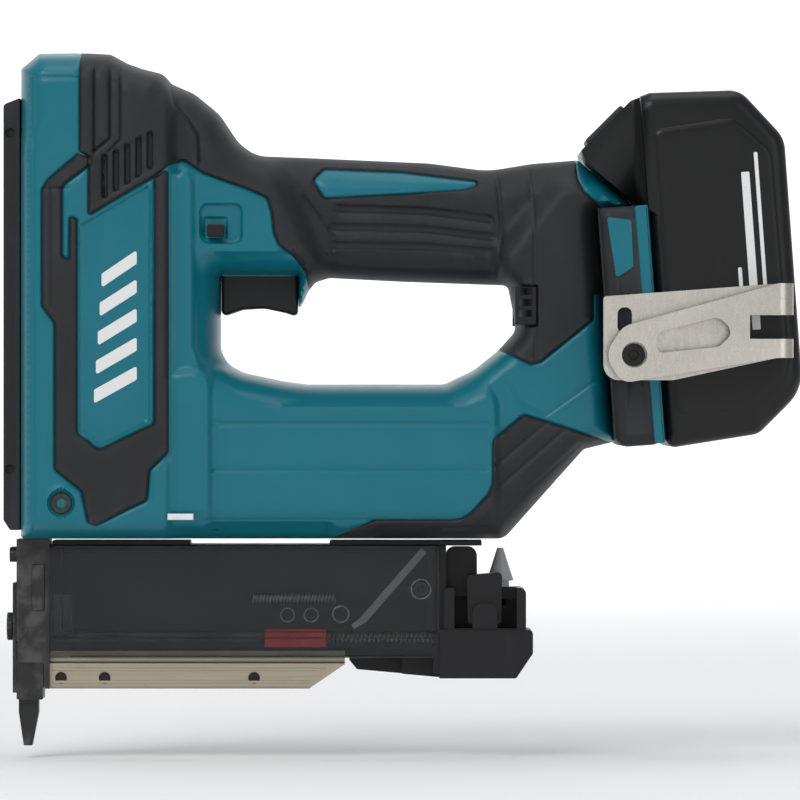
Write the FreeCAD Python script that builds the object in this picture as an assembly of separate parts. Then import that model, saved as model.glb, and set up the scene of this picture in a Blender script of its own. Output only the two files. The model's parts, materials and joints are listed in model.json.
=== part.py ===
"""Cordless brad nailer with its battery: one STEP file for each separate piece, in millimetres.

Frame: the origin is the nose tip, where the pin leaves.  +Z points up the driver, +X runs back
towards the battery and -Y is the side that carries the belt hook.
"""
import FreeCAD
import Part
import math
import os

V = FreeCAD.Vector
X_AXIS, Y_AXIS, Z_AXIS = V(1, 0, 0), V(0, 1, 0), V(0, 0, 1)
OUT = "parts"

# ---------------------------------------------------------------- driving dimensions (mm)
UNDERSIDE = 66.5          # underside of the housing above the nose tip
COLUMN_HEIGHT = 156.2     # drive column, underside to top
COLUMN_DEPTH = 59.0       # drive column, front to back
COLUMN_HALF = 30.0        # half widths across Y
TUBE_HALF = 26.0
HANDLE_HALF = 17.5
LINK_HALF = 23.0
BASE_HALF = 37.0
BATTERY_HALF = 36.2
REACH = 175.7             # driver axis to the top rear corner of the handle
BATTERY_TILT = 4.2        # degrees that the battery leans back
BATTERY_DEPTH = 45.0      # battery body, from the base out
WALL = 2.6                # moulded wall
CELL_RADIUS = 9.1         # battery cell
GRIP_SKIN = 1.5           # soft overmould thickness
EDGE = 5.0                # rounding along the outer edges of the housing
GAP = 0.4                 # general clearance between pieces that move past each other
FIT = 0.05                # running clearance on a radius

MOTOR_RADIUS = 18.0
MOTOR_LENGTH = 50.0
SHAFT_RADIUS = 1.6
PLANET_MODULE = 0.75
SUN_TEETH = 12
PLANET_TEETH = 12
RING_TEETH = SUN_TEETH + 2 * PLANET_TEETH
FACE_MODULE = 0.8
FACE_PINION_TEETH = 10
FACE_TEETH = 30
TRAIN_MODULE = 1.0
IDLER_TEETH = 10
WHEEL_TEETH = 30
SECTOR_TEETH = 18
STROKE = 38.0
ROD_RADIUS = 4.5
SPRING_MEAN = 9.4
SPRING_WIRE = 2.6
PLUNGER_HEIGHT = 14.0
FRAME_PLATE = 3.0
FRAME_HALF = 16.5

BLADE_THICK = 0.8
BLADE_WIDTH = 2.4
NOSE_HALF = 8.0
CONTACT_TRAVEL = 5.0
MAGAZINE_HALF = 9.5
MAGAZINE_LENGTH = 125.0
PUSHER_TRAVEL = 30.0
TRIGGER_TRAVEL = 5.0
TRIGGER_HALF = 7.5
HOOK_SHEET = 1.4
HOOK_GAP = 7.2
HOOK_WIDTH = 23.5
SCREW_RADIUS = 2.0
SCREW_HEAD = 3.6

# ---------------------------------------------------------------- places worked out from them
TOP = UNDERSIDE + COLUMN_HEIGHT
FRONT = -2.0
COLUMN_BACK = FRONT + COLUMN_DEPTH
HANDLE_TOP = TOP - 33.5
TUBE_TOP = UNDERSIDE + 49.7
MOTOR_Z = UNDERSIDE + 27.9
BAY = V(REACH + 22.5, 0, HANDLE_TOP - 18.2)   # top of the face where the battery seats
WHEEL_PITCH = WHEEL_TEETH * TRAIN_MODULE / 2
IDLER_PITCH = IDLER_TEETH * TRAIN_MODULE / 2
SECTOR_PITCH = SECTOR_TEETH * TRAIN_MODULE / 2
ROD_X = FRONT + 22.0
SPRING_OUTER = SPRING_MEAN + SPRING_WIRE / 2
RACK_BACK = ROD_X + SPRING_OUTER + 0.6
RACK_PITCH = RACK_BACK + 3.95
LIFTER_X = RACK_PITCH + SECTOR_PITCH
IDLER_X = LIFTER_X + 2.0
IDLER_Z = MOTOR_Z
LIFTER_Z = IDLER_Z + math.sqrt((WHEEL_PITCH + IDLER_PITCH) ** 2 - (LIFTER_X - IDLER_X) ** 2)
FACE_RADIUS = FACE_TEETH * FACE_MODULE / 2
FACE_PINION = FACE_PINION_TEETH * FACE_MODULE / 2
GEARBOX_X = IDLER_X + FACE_RADIUS + 4.2
MOTOR_X = GEARBOX_X + 20.0
FRAME_X = (FRONT + 9.0, IDLER_X + FACE_RADIUS + 3.2)
FRAME_FLOOR = UNDERSIDE + WALL + GAP
FLOOR_TOP = FRAME_FLOOR + 5.0
PLUNGER_Z = FLOOR_TOP + 6.0
SPRING_TOP = TOP - 17.0
CHEEK = FRAME_HALF - FRAME_PLATE
MAG_X = 7.4
MAG_END = MAG_X + MAGAZINE_LENGTH
RAIL_END = MAG_END - 30.4
MAG_TOP = UNDERSIDE - 1.6
MAG_FLOOR = UNDERSIDE - 38.2
CAP_X = MAG_END + 1.2
TRIGGER_X = (62.6, 86.6)
TRIGGER_TOP = HANDLE_TOP - 33.0


# ---------------------------------------------------------------- shape helpers
def rounded_wire(points, place):
    """Closed wire through (a, b, radius) corners; place turns (a, b) into a 3-D point."""
    corners = [(p[0], p[1], p[2] if len(p) > 2 else 0.0) for p in points]
    starts, ends, mids = [], [], []
    for i, (a, b, radius) in enumerate(corners):
        before, after = corners[i - 1], corners[(i + 1) % len(corners)]
        here = V(a, b, 0)
        to_before = V(before[0], before[1], 0).sub(here)
        to_after = V(after[0], after[1], 0).sub(here)
        if radius <= 0:
            starts.append(here)
            ends.append(here)
            mids.append(None)
            continue
        half = to_before.getAngle(to_after) / 2
        run = min(radius / math.tan(half), 0.49 * to_before.Length, 0.49 * to_after.Length)
        radius = run * math.tan(half)
        to_before.normalize()
        to_after.normalize()
        bisector = to_before.add(to_after)
        bisector.normalize()
        centre = here.add(bisector * (radius / math.sin(half)))
        starts.append(here.add(to_before * run))
        ends.append(here.add(to_after * run))
        mids.append(centre.sub(bisector * radius))
    edges = []
    for i in range(len(corners)):
        if mids[i] is not None:
            arc = [place(p.x, p.y) for p in (starts[i], mids[i], ends[i])]
            edges.append(Part.Arc(*arc).toShape())
        following = starts[(i + 1) % len(corners)]
        if ends[i].distanceToPoint(following) > 1e-6:
            edges.append(Part.makeLine(place(ends[i].x, ends[i].y), place(following.x, following.y)))
    return Part.Wire(edges)


def side_plate(points, y0, y1):
    """Outline in X and Z, extruded across Y from y0 to y1."""
    wire = rounded_wire(points, lambda a, b: V(a, y0, b))
    return Part.Face(wire).extrude(V(0, y1 - y0, 0))


def cross_plate(points, x0, x1):
    """Outline in Y and Z, extruded along X."""
    wire = rounded_wire(points, lambda a, b: V(x0, a, b))
    return Part.Face(wire).extrude(V(x1 - x0, 0, 0))


def plan_plate(points, z0, z1):
    """Outline in X and Y, extruded up Z."""
    wire = rounded_wire(points, lambda a, b: V(a, b, z0))
    return Part.Face(wire).extrude(V(0, 0, z1 - z0))


def inset(points, distance):
    """The same corners moved inwards by a distance, for walls that follow an outline."""
    count = len(points)
    area = sum(points[i - 1][0] * points[i][1] - points[i][0] * points[i - 1][1] for i in range(count))
    turn = 1 if area > 0 else -1
    moved = []
    for i in range(count):
        a, b, c = (V(*points[k % count][:2], 0) for k in (i - 1, i, i + 1))
        first, second = b.sub(a), c.sub(b)
        first.normalize()
        second.normalize()
        n1 = V(-first.y, first.x, 0) * turn
        n2 = V(-second.y, second.x, 0) * turn
        middle = n1.add(n2)
        middle.normalize()
        shift = distance / max(middle.dot(n1), 0.35)
        radius = points[i][2] if len(points[i]) > 2 else 0.0
        moved.append((b.x + middle.x * shift, b.y + middle.y * shift, max(radius - distance, 0.0)))
    return moved


def box(x0, x1, y0, y1, z0, z1):
    return Part.makeBox(x1 - x0, y1 - y0, z1 - z0, V(x0, y0, z0))


def rod(start, axis, radius, length):
    return Part.makeCylinder(radius, length, start, axis)


def tube(start, axis, outer, inner, length):
    return rod(start, axis, outer, length).cut(rod(start, axis, inner, length))


def fuse(*shapes):
    whole = shapes[0]
    if len(shapes) > 1:
        whole = whole.multiFuse(list(shapes[1:]))
    return whole.removeSplitter()


def cut(shape, *tools):
    return shape.cut(list(tools))


def mirrored(shape):
    """The same piece for the other side of the Y = 0 plane."""
    return shape.mirror(V(0, 0, 0), Y_AXIS)


def edge_round(shape, radius, test):
    """Fillets the edges whose midpoint passes the test."""
    edges = [e for e in shape.Edges if test(e.BoundBox)]
    return shape.makeFillet(radius, edges)


def half_slab(points, half, radius):
    """Outline extruded from -half to 0, its outer edge rounded."""
    slab = side_plate(points, -half, 0)
    return edge_round(slab, radius, lambda b: b.YMax < -half + 1e-3)


def in_bay(shape):
    """Turns a shape drawn at the bay's own axes (out along X, up along Z) into place."""
    shape.rotate(V(0, 0, 0), Y_AXIS, -BATTERY_TILT)
    shape.translate(BAY)
    return shape


def save(name, *shapes):
    """Writes one piece, or a group of separate like solids, to its own file."""
    solids = [solid for shape in shapes for solid in shape.Solids]
    whole = solids[0] if len(solids) == 1 else Part.makeCompound(solids)
    if not whole.isValid() or min(s.Volume for s in solids) <= 0:
        raise ValueError(name + " is not a sound solid")
    whole.exportStep(os.path.join(OUT, name + ".step"))


# ---------------------------------------------------------------- gears
def involute(angle):
    return math.tan(angle) - angle


def gear_outline(module, teeth, phase, backlash, tip, root, kept=None):
    """Corner points (angle from the phase direction) of an involute wheel, as (a, b) pairs."""
    pitch = module * teeth / 2
    base = pitch * math.cos(math.radians(20))
    outer, inner = pitch + tip * module, pitch - root * module
    radii = [inner] + [max(base, inner) + (outer - max(base, inner)) * k / 4 for k in range(5)]
    at_pitch = math.pi / (2 * teeth) - backlash / (2 * pitch)
    flank = []
    for r in radii:
        spread = at_pitch + involute(math.radians(20))
        spread -= involute(math.acos(min(1.0, base / max(r, base))))
        flank.append((r, max(spread, 0.02)))
    points = []
    for k in range(teeth):
        centre = phase + 2 * math.pi * k / teeth
        if kept is not None and k not in kept:
            points += [(inner, centre - math.pi / teeth * 0.6), (inner, centre + math.pi / teeth * 0.6)]
            continue
        points += [(r, centre - a) for r, a in flank]
        points += [(r, centre + a) for r, a in reversed(flank)]
    return [(r * math.cos(t), r * math.sin(t)) for r, t in points]


def wheel_y(x, z, y0, y1, module, teeth, phase, tip=0.9, kept=None):
    """Spur wheel about Y; its angles run from +X towards +Z."""
    outline = gear_outline(module, teeth, phase, 0.16 * module, tip, 1.2, kept)
    return side_plate([(x + a, z + b) for a, b in outline], y0, y1)


def wheel_x(y, z, x0, x1, module, teeth, phase, backlash=0.16, tip=0.9, root=1.2):
    """Spur wheel about X; its angles run from +Y towards +Z."""
    outline = gear_outline(module, teeth, phase, backlash * module, tip, root)
    return cross_plate([(y + a, z + b) for a, b in outline], x0, x1)


# ---------------------------------------------------------------- outlines of the housing
column = [(FRONT, UNDERSIDE, 2), (FRONT, TOP - 4.3, 2), (FRONT + 6, TOP, 2), (FRONT + 30, TOP, 5),
          (FRONT + 46, TOP - 8, 6), (COLUMN_BACK, TOP - 16.5, 3), (COLUMN_BACK, UNDERSIDE, 2)]
shoulder = [(COLUMN_BACK - 12, TUBE_TOP, 0), (COLUMN_BACK - 12, TOP - 9, 0),
            (COLUMN_BACK + 2, TOP - 16.5, 6), (COLUMN_BACK + 15, HANDLE_TOP + 0.6, 12),
            (COLUMN_BACK + 38, HANDLE_TOP, 4), (COLUMN_BACK + 38, TRIGGER_TOP - 5, 4),
            (COLUMN_BACK + 5.3, TRIGGER_TOP - 5, 0), (COLUMN_BACK + 5.3, TUBE_TOP, 0)]
handle = [(COLUMN_BACK + 3, TRIGGER_TOP - 5, 0), (COLUMN_BACK + 3, HANDLE_TOP + 5, 0),
          (COLUMN_BACK + 31, HANDLE_TOP, 8), (129, HANDLE_TOP - 1.9, 40), (148, HANDLE_TOP - 4.4, 30),
          (163, HANDLE_TOP - 1.9, 10), (REACH + 2.5, HANDLE_TOP - 1.9, 3), (REACH + 2.5, HANDLE_TOP - 41, 0),
          (154.5, HANDLE_TOP - 41, 2), (121, HANDLE_TOP - 40, 60), (93, TRIGGER_TOP - 5, 4)]
trigger_guard = [(TRIGGER_X[1] + GAP, HANDLE_TOP - 30, 0), (TRIGGER_X[1] + GAP, HANDLE_TOP - 48.5, 0),
                 (TRIGGER_X[1] + 2.4, HANDLE_TOP - 48.5, 1), (TRIGGER_X[1] + 8, HANDLE_TOP - 37, 0)]
tube_case = [(COLUMN_BACK - 12, UNDERSIDE, 0), (COLUMN_BACK - 12, TUBE_TOP + 11, 0),
             (COLUMN_BACK + 5.3, TUBE_TOP + 11, 4), (69, TUBE_TOP + 3.5, 6), (84, TUBE_TOP, 12),
             (148.8, TUBE_TOP, 9), (148.8, UNDERSIDE + 6.2, 9), (111.6, UNDERSIDE + 6.2, 2),
             (97.3, UNDERSIDE, 2)]
link = [(108, UNDERSIDE, 0), (120, TUBE_TOP - 4, 0), (138, TUBE_TOP + 0.5, 8), (150, TUBE_TOP + 9.5, 6),
        (157.2, TUBE_TOP + 17, 5), (154.6, HANDLE_TOP - 38, 0), (150, HANDLE_TOP - 26, 0),
        (REACH + 9, HANDLE_TOP - 20, 0), (REACH + 12, UNDERSIDE + 31, 0),
        (REACH + 3.3, UNDERSIDE + 28.8, 3), (REACH - 22.5, UNDERSIDE, 4)]
BASE_FOOT, BASE_DEEP = -74.0, 15.5
base = [(-BASE_DEEP, BASE_FOOT, 4), (-BASE_DEEP, 2, 3), (-3, 2, 0), (0, 0, 0), (0, BASE_FOOT, 4)]
crown = [(-BASE_DEEP - 12, -12, 0), (-BASE_DEEP - 6, 16.5, 3), (-3.5, 2.6, 0), (-4, -20, 0)]
SLABS = [(column, COLUMN_HALF), (shoulder, COLUMN_HALF - 6), (handle, HANDLE_HALF),
         (tube_case, TUBE_HALF), (link, LINK_HALF)]

# ---------------------------------------------------------------- outlines of the soft grip
grip_top = [(FRONT + 20, TOP + 9), (FRONT + 20, TOP - 55), (FRONT + 43, TOP - 41.7),
            (FRONT + 48, TOP - 35), (COLUMN_BACK - 2, TOP - 35), (COLUMN_BACK + 9, HANDLE_TOP - 14),
            (COLUMN_BACK + 22, HANDLE_TOP - 26.5), (92, HANDLE_TOP - 42), (160, HANDLE_TOP - 42),
            (164, HANDLE_TOP - 29), (REACH + 2, HANDLE_TOP - 12), (REACH, HANDLE_TOP + 4), (76, TOP + 9)]
grip_wing = [(FRONT + 8, TOP - 45), (FRONT + 20.6, TOP - 32.4), (FRONT + 19.3, TOP - 122.5),
             (FRONT + 26.3, TOP - 127), (FRONT + 43, TOP - 118.5), (FRONT + 43, TOP - 41.5),
             (FRONT + 48, TOP - 38.5), (FRONT + 48, UNDERSIDE + 27), (FRONT + 41.5, UNDERSIDE + 12),
             (FRONT + 25, UNDERSIDE + 5), (FRONT + 20.6, UNDERSIDE + 15.5),
             (FRONT + 12, UNDERSIDE + 22.5), (FRONT + 12, TOP - 88), (FRONT + 8, TOP - 82)]
grip_guard = [(99, UNDERSIDE - 6), (99, UNDERSIDE + 0.7), (111.6, UNDERSIDE + 6.2),
              (140.2, UNDERSIDE + 6.2), (148.9, UNDERSIDE + 16), (149, UNDERSIDE + 32),
              (159.2, UNDERSIDE + 39.8), (REACH + 7.4, UNDERSIDE + 33), (REACH + 14, UNDERSIDE + 20),
              (REACH - 20, UNDERSIDE - 10)]
GRIPS = [grip_top, grip_wing, grip_guard]


def housing_layer(depth, radius):
    """The near half of the housing, every outline moved inwards by a depth."""
    parts = []
    for outline, half in SLABS:
        points = inset(outline, depth) if depth else outline
        parts.append(half_slab(points, half - depth, radius))
    points = inset(crown, depth) if depth else crown
    parts.append(in_bay(side_plate(points, depth - LINK_HALF, 0)))
    if depth < WALL:
        parts.append(side_plate(trigger_guard, depth - HANDLE_HALF + 2, 0))
    return fuse(*parts)


# ---------------------------------------------------------------- places inside the housing
COLUMN_SCREW = (FRONT + 14.2, UNDERSIDE + 11.9)
CASE_SCREWS = [(COLUMN_BACK - 9, TOP - 23), (COLUMN_BACK + 45, HANDLE_TOP - 8),
               (150, HANDLE_TOP - 16), (164, UNDERSIDE + 21)]
LOCK = (COLUMN_BACK + 4.1, HANDLE_TOP - 24.1, 2.65, 1.9)     # centre X, centre Z, half sizes
SWITCH_Z = TRIGGER_TOP + 10
SWITCH_X = (TRIGGER_X[0] + 4, TRIGGER_X[1] + 10)
PLUNGER_PIN_X = TRIGGER_X[0] + 9
TRIGGER_SPRING_X = TRIGGER_X[1] - 5
RAIL_WIDE, RAIL_NARROW = 24.4, 21.8       # half widths of the battery rail and of its neck
RAIL_DEEP, RAIL_LIP, RAIL_FOOT = 7.5, 3.0, -66.0
BLADE_Y = 9.0
HOOK_POINT = V(REACH + 17.8, 0, BAY.z - 45.6)
LIGHT = (COLUMN_BACK - 11, COLUMN_BACK - 2.8, UNDERSIDE + 6.6, UNDERSIDE + 8.6)
VENT = [(156.4, HANDLE_TOP - 54), (163.2, HANDLE_TOP - 54), (163.2, HANDLE_TOP - 42), (156.4, HANDLE_TOP - 42)]


def housing_half(far):
    """Near half by default; the far half is its mirror image with its own screw bosses."""
    outer = housing_layer(0, EDGE)
    core = housing_layer(GRIP_SKIN, EDGE - GRIP_SKIN)
    hollow = housing_layer(WALL, EDGE - WALL)
    regions = [side_plate(outline, -COLUMN_HALF - 5, 0) for outline in GRIPS]
    region = fuse(*regions)
    shell = fuse(outer.cut(region), core.common(region))
    skin = outer.cut(core).common(region)
    foot = in_bay(half_slab(base, BASE_HALF, EDGE - 1))
    pocket = in_bay(box(-BASE_DEEP + WALL, -WALL, -BASE_HALF + WALL, -RAIL_WIDE - WALL - GAP,
                        BASE_FOOT + WALL, -WALL))
    back = -RAIL_DEEP - GAP - WALL
    room = in_bay(fuse(
        box(-BASE_DEEP + WALL, back, -BASE_HALF + WALL, 0, BASE_FOOT + WALL, -WALL),
        box(-BASE_DEEP - 4, back, -LINK_HALF + WALL, 0, BASE_FOOT + 3 * WALL, -3 * WALL)))
    channel = in_bay(fuse(
        box(-RAIL_DEEP - GAP, -RAIL_LIP + GAP, -RAIL_WIDE - GAP, 0, RAIL_FOOT - GAP, 20),
        box(-RAIL_LIP, 1, -RAIL_NARROW - GAP, 0, RAIL_FOOT - GAP, 20)))
    shell = fuse(shell, foot).cut(fuse(hollow, room)).cut(pocket)
    shell = fuse(shell, rod(V(HOOK_POINT.x, -BASE_HALF, HOOK_POINT.z), Y_AXIS, 4.2, 10.5).common(foot))
    shell = shell.cut(channel)
    skin = skin.cut(fuse(foot, channel))
    bosses = [rod(V(x, -30, z), Y_AXIS, 4.2, 30).common(core) for x, z in CASE_SCREWS]
    shell = fuse(shell, *bosses)
    openings = [
        box(TRIGGER_X[0] - GAP, TRIGGER_X[1] + GAP, -TRIGGER_HALF - GAP, 0, 100, TRIGGER_TOP + TRIGGER_TRAVEL + 1),
        box(LOCK[0] - LOCK[2] - GAP, LOCK[0] + LOCK[2] + GAP, -40, 0, LOCK[1] - LOCK[3] - GAP,
            LOCK[1] + LOCK[3] + GAP),
        box(FRONT + 0.6, FRONT + WALL + 1, -4.4, 0, UNDERSIDE - 1, PLUNGER_Z + PLUNGER_HEIGHT + STROKE + 4),
        box(LIGHT[0], LIGHT[1], -COLUMN_HALF - 1, -COLUMN_HALF + 1.8, LIGHT[2], LIGHT[3]),
        side_plate(VENT, -LINK_HALF - 1, -LINK_HALF + WALL + 1),
        in_bay(box(-RAIL_DEEP - GAP - WALL - 1, -RAIL_DEEP, -BLADE_Y - 1.2, -BLADE_Y + 1.2, -60, -42)),
        rod(V(HOOK_POINT.x, -BASE_HALF - 1, HOOK_POINT.z), Y_AXIS, SCREW_RADIUS - 0.35, 11),
        rod(V(COLUMN_SCREW[0], -COLUMN_HALF - 1, COLUMN_SCREW[1]), Y_AXIS, SCREW_RADIUS + FIT, 30),
        rod(V(COLUMN_SCREW[0], -COLUMN_HALF - 1, COLUMN_SCREW[1]), Y_AXIS, SCREW_HEAD + 0.1, 3.6),
        rod(V(TRIGGER_X[0] + 3, -12, TRIGGER_TOP - 2), Y_AXIS, 1.5, 12)]
    for x, z in CASE_SCREWS:
        if far:
            openings.append(rod(V(x, -40, z), Y_AXIS, SCREW_HEAD + 0.1, 40 - case_half(x, z) + 2.8))
            openings.append(rod(V(x, -40, z), Y_AXIS, SCREW_RADIUS, 40))
        else:
            openings.append(rod(V(x, -8, z), Y_AXIS, SCREW_RADIUS, 8))
    shell = cut(shell, *openings)
    skin = cut(skin, *openings)
    if far:
        return mirrored(shell), mirrored(skin)
    return shell, skin


def case_half(x, z):
    """Half width of the housing at a screw."""
    probe = rod(V(x, -60, z), Y_AXIS, 0.2, 60)
    return -min(probe.common(half_slab(o, h, EDGE)).BoundBox.YMin for o, h in SLABS
                if probe.common(half_slab(o, h, EDGE)).Volume > 0)


# ---------------------------------------------------------------- housing pieces
def screw(start, axis, length, head=SCREW_HEAD, radius=SCREW_RADIUS):
    """Hex-socket screw: its head top at start, its shank along axis."""
    body = fuse(rod(start, axis, head, 2.4), rod(start, axis, radius - 0.02, length))
    socket = Part.makePolygon([V(1.7 * math.cos(k * math.pi / 3), 1.7 * math.sin(k * math.pi / 3), 0)
                               for k in range(7)])
    recess = Part.Face(Part.Wire(socket.Edges)).extrude(V(0, 0, 1.4))
    recess.Placement = FreeCAD.Placement(start, FreeCAD.Rotation(Z_AXIS, axis))
    return body.cut(recess)


def screw_space(start, axis, length, head, radius):
    """The hole that a screw fills, head and all."""
    return fuse(rod(start, axis, head, 2.4), rod(start, axis, radius, length))


def make_housing():
    for side, far in (("left", False), ("right", True)):
        shell, skin = housing_half(far)
        save("housing_" + side, shell)
        save("grip_" + side, skin)
    near = screw(V(COLUMN_SCREW[0], -COLUMN_HALF + 0.2, COLUMN_SCREW[1]), Y_AXIS, COLUMN_HALF - CHEEK - 0.2)
    screws = [near, mirrored(near)]
    for x, z in CASE_SCREWS:
        half = case_half(x, z)
        screws.append(screw(V(x, half - 0.2, z), -Y_AXIS, half + 7))
    save("housing_screws", *screws)
    bumper = side_plate([(FRONT - 5.1, TOP - 150, 1), (FRONT - 5.1, TOP - 17, 1.5), (FRONT, TOP - 15, 0),
                         (FRONT, UNDERSIDE + 3, 0), (FRONT - 3, UNDERSIDE + 3, 1)], -14, 14)
    for z in (TOP - 26, UNDERSIDE + 22.5):
        for y in (-14, 12.6):
            bumper = bumper.cut(rod(V(FRONT - 3, y, z), Y_AXIS, 1.6, 1.4))
    save("front_bumper", bumper)
    light = box(LIGHT[0], LIGHT[1], -COLUMN_HALF, -COLUMN_HALF + 1.8, LIGHT[2], LIGHT[3])
    save("work_lights", light, mirrored(light))
    vent = side_plate(VENT, -LINK_HALF + 0.3, -LINK_HALF + WALL + 0.3)
    for k in range(3):
        z = VENT[0][1] + 2.4 + 3.5 * k
        vent = vent.cut(box(VENT[0][0] + 1.4, VENT[1][0] - 1.4, -40, 0, z, z + 2.2))
    save("vent_grilles", vent, mirrored(vent))


def make_hook():
    """Folded sheet: a back plate screwed to the foot and a leaf that springs back over it."""
    y_back = -BASE_HALF - 0.3
    y_leaf = y_back - HOOK_SHEET - HOOK_GAP
    left, right = HOOK_POINT.x - 9.5, HOOK_POINT.x + 45.3
    low, high = HOOK_POINT.z - 1.0, HOOK_POINT.z - 1.0 + HOOK_WIDTH
    back = side_plate([(left, low - 7, 5), (left, high - 4, 1), (right, high, 0), (right, low, 0),
                       (left + 22, low - 7, 6)], y_back - HOOK_SHEET, y_back)
    leaf = side_plate([(left + 5.5, low - 8, 5), (left, low + 1, 7), (left + 6, low + 10, 7), (right, high, 0),
                       (right, low, 0)], y_leaf - HOOK_SHEET, y_leaf)
    bend_y = (y_back + y_leaf - HOOK_SHEET) / 2
    outer = (y_back - y_leaf + HOOK_SHEET) / 2
    bend = tube(V(right, bend_y, low), Z_AXIS, outer, outer - HOOK_SHEET, high - low)
    bend = bend.common(box(right, right + 20, -90, 0, low, high))
    window = side_plate([(left + 16, low + 1.5, 2), (left + 17, low + 8, 2), (left + 36, low + 13, 4),
                         (left + 41, low + 8, 4), (left + 36, low + 3.5, 3)], y_leaf - 3, y_leaf + 1)
    cut_out = box(right - 9, right + 20, -90, y_back + 1, low + 6, low + 13.5)
    slot = side_plate([(left + 4.5, low + 8, 2), (left + 4.5, low + 16, 2), (left + 9, low + 16, 2),
                       (left + 9, low + 8, 2)], y_back - 2, y_back + 1)
    hole = rod(V(HOOK_POINT.x, -90, HOOK_POINT.z), Y_AXIS, SCREW_HEAD + 0.4, 90 + y_leaf + 1)
    shank = rod(V(HOOK_POINT.x, -90, HOOK_POINT.z), Y_AXIS, SCREW_RADIUS + 0.2, 90)
    save("belt_hook", cut(fuse(back, leaf, bend), window, cut_out, slot, hole, shank))
    save("hook_screw", screw(V(HOOK_POINT.x, y_back - HOOK_SHEET - 2.4, HOOK_POINT.z), Y_AXIS,
                             2.4 + HOOK_SHEET + 0.3 + 9, SCREW_HEAD, SCREW_RADIUS - 0.33))


def make_controls():
    x, z, dx, dz = LOCK
    half = COLUMN_HALF - 6
    save("lock_button", box(x - dx, x + dx, -half - 1.5, half - 1.5, z - dz, z + dz))
    low = HANDLE_TOP - 51.4
    face = [(TRIGGER_X[0] + 0.4, TRIGGER_TOP, 1), (TRIGGER_X[1] - 0.4, TRIGGER_TOP, 1),
            (TRIGGER_X[1], TRIGGER_TOP - 8, 0), (TRIGGER_X[1] - 1, low, 1.5), (TRIGGER_X[1] - 7, low + 3.5, 6),
            (TRIGGER_X[0] + 8, low + 3.8, 8), (TRIGGER_X[0] + 1, low, 1), (TRIGGER_X[0], TRIGGER_TOP - 8, 0)]
    trigger = side_plate(face, -TRIGGER_HALF, TRIGGER_HALF)
    rounded = edge_round(trigger, 1.2, lambda b: b.ZMax < TRIGGER_TOP - 7 and b.YMax - b.YMin < 0.01)
    pin_x, pin_z = TRIGGER_X[0] + 3, TRIGGER_TOP - 2
    slot = box(pin_x - 1.5 - GAP, pin_x + 1.5 + GAP, -20, 20, pin_z - TRIGGER_TRAVEL - 1.5 - GAP, pin_z + 3)
    well = box(TRIGGER_X[0] + 7, TRIGGER_X[1] - 2, -TRIGGER_HALF + 1.6, TRIGGER_HALF - 1.6,
               low + 7, TRIGGER_TOP - 2)
    save("trigger", cut(rounded, slot, well))
    save("trigger_pin", rod(V(pin_x, -12, pin_z), Y_AXIS, 1.5, 24))
    save("trigger_spring", tube(V(TRIGGER_SPRING_X, 0, TRIGGER_TOP), Z_AXIS, 2.8, 1.9, SWITCH_Z - TRIGGER_TOP))
    switch = box(SWITCH_X[0], SWITCH_X[1], -8, 8, SWITCH_Z, SWITCH_Z + 12)
    bore = rod(V(PLUNGER_PIN_X, 0, SWITCH_Z - 1), Z_AXIS, 2.3, 10)
    save("trigger_switch", switch.cut(bore))
    save("switch_plunger", rod(V(PLUNGER_PIN_X, 0, TRIGGER_TOP + 0.3), Z_AXIS, 2.0, SWITCH_Z - TRIGGER_TOP + 2))
    save("controller", box(REACH - 9, REACH + 2.5, -14, 14, UNDERSIDE + 42, UNDERSIDE + 96))
    block = box(-BASE_DEEP + 1, -RAIL_DEEP - GAP - WALL, -15, 15, -62, -30)
    blades = [box(-RAIL_DEEP - GAP - WALL, -RAIL_DEEP + 3, s * BLADE_Y - 0.4, s * BLADE_Y + 0.4, -58, -44)
              for s in (-1, 1)]
    save("terminal_block", in_bay(fuse(block, *blades)))


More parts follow.
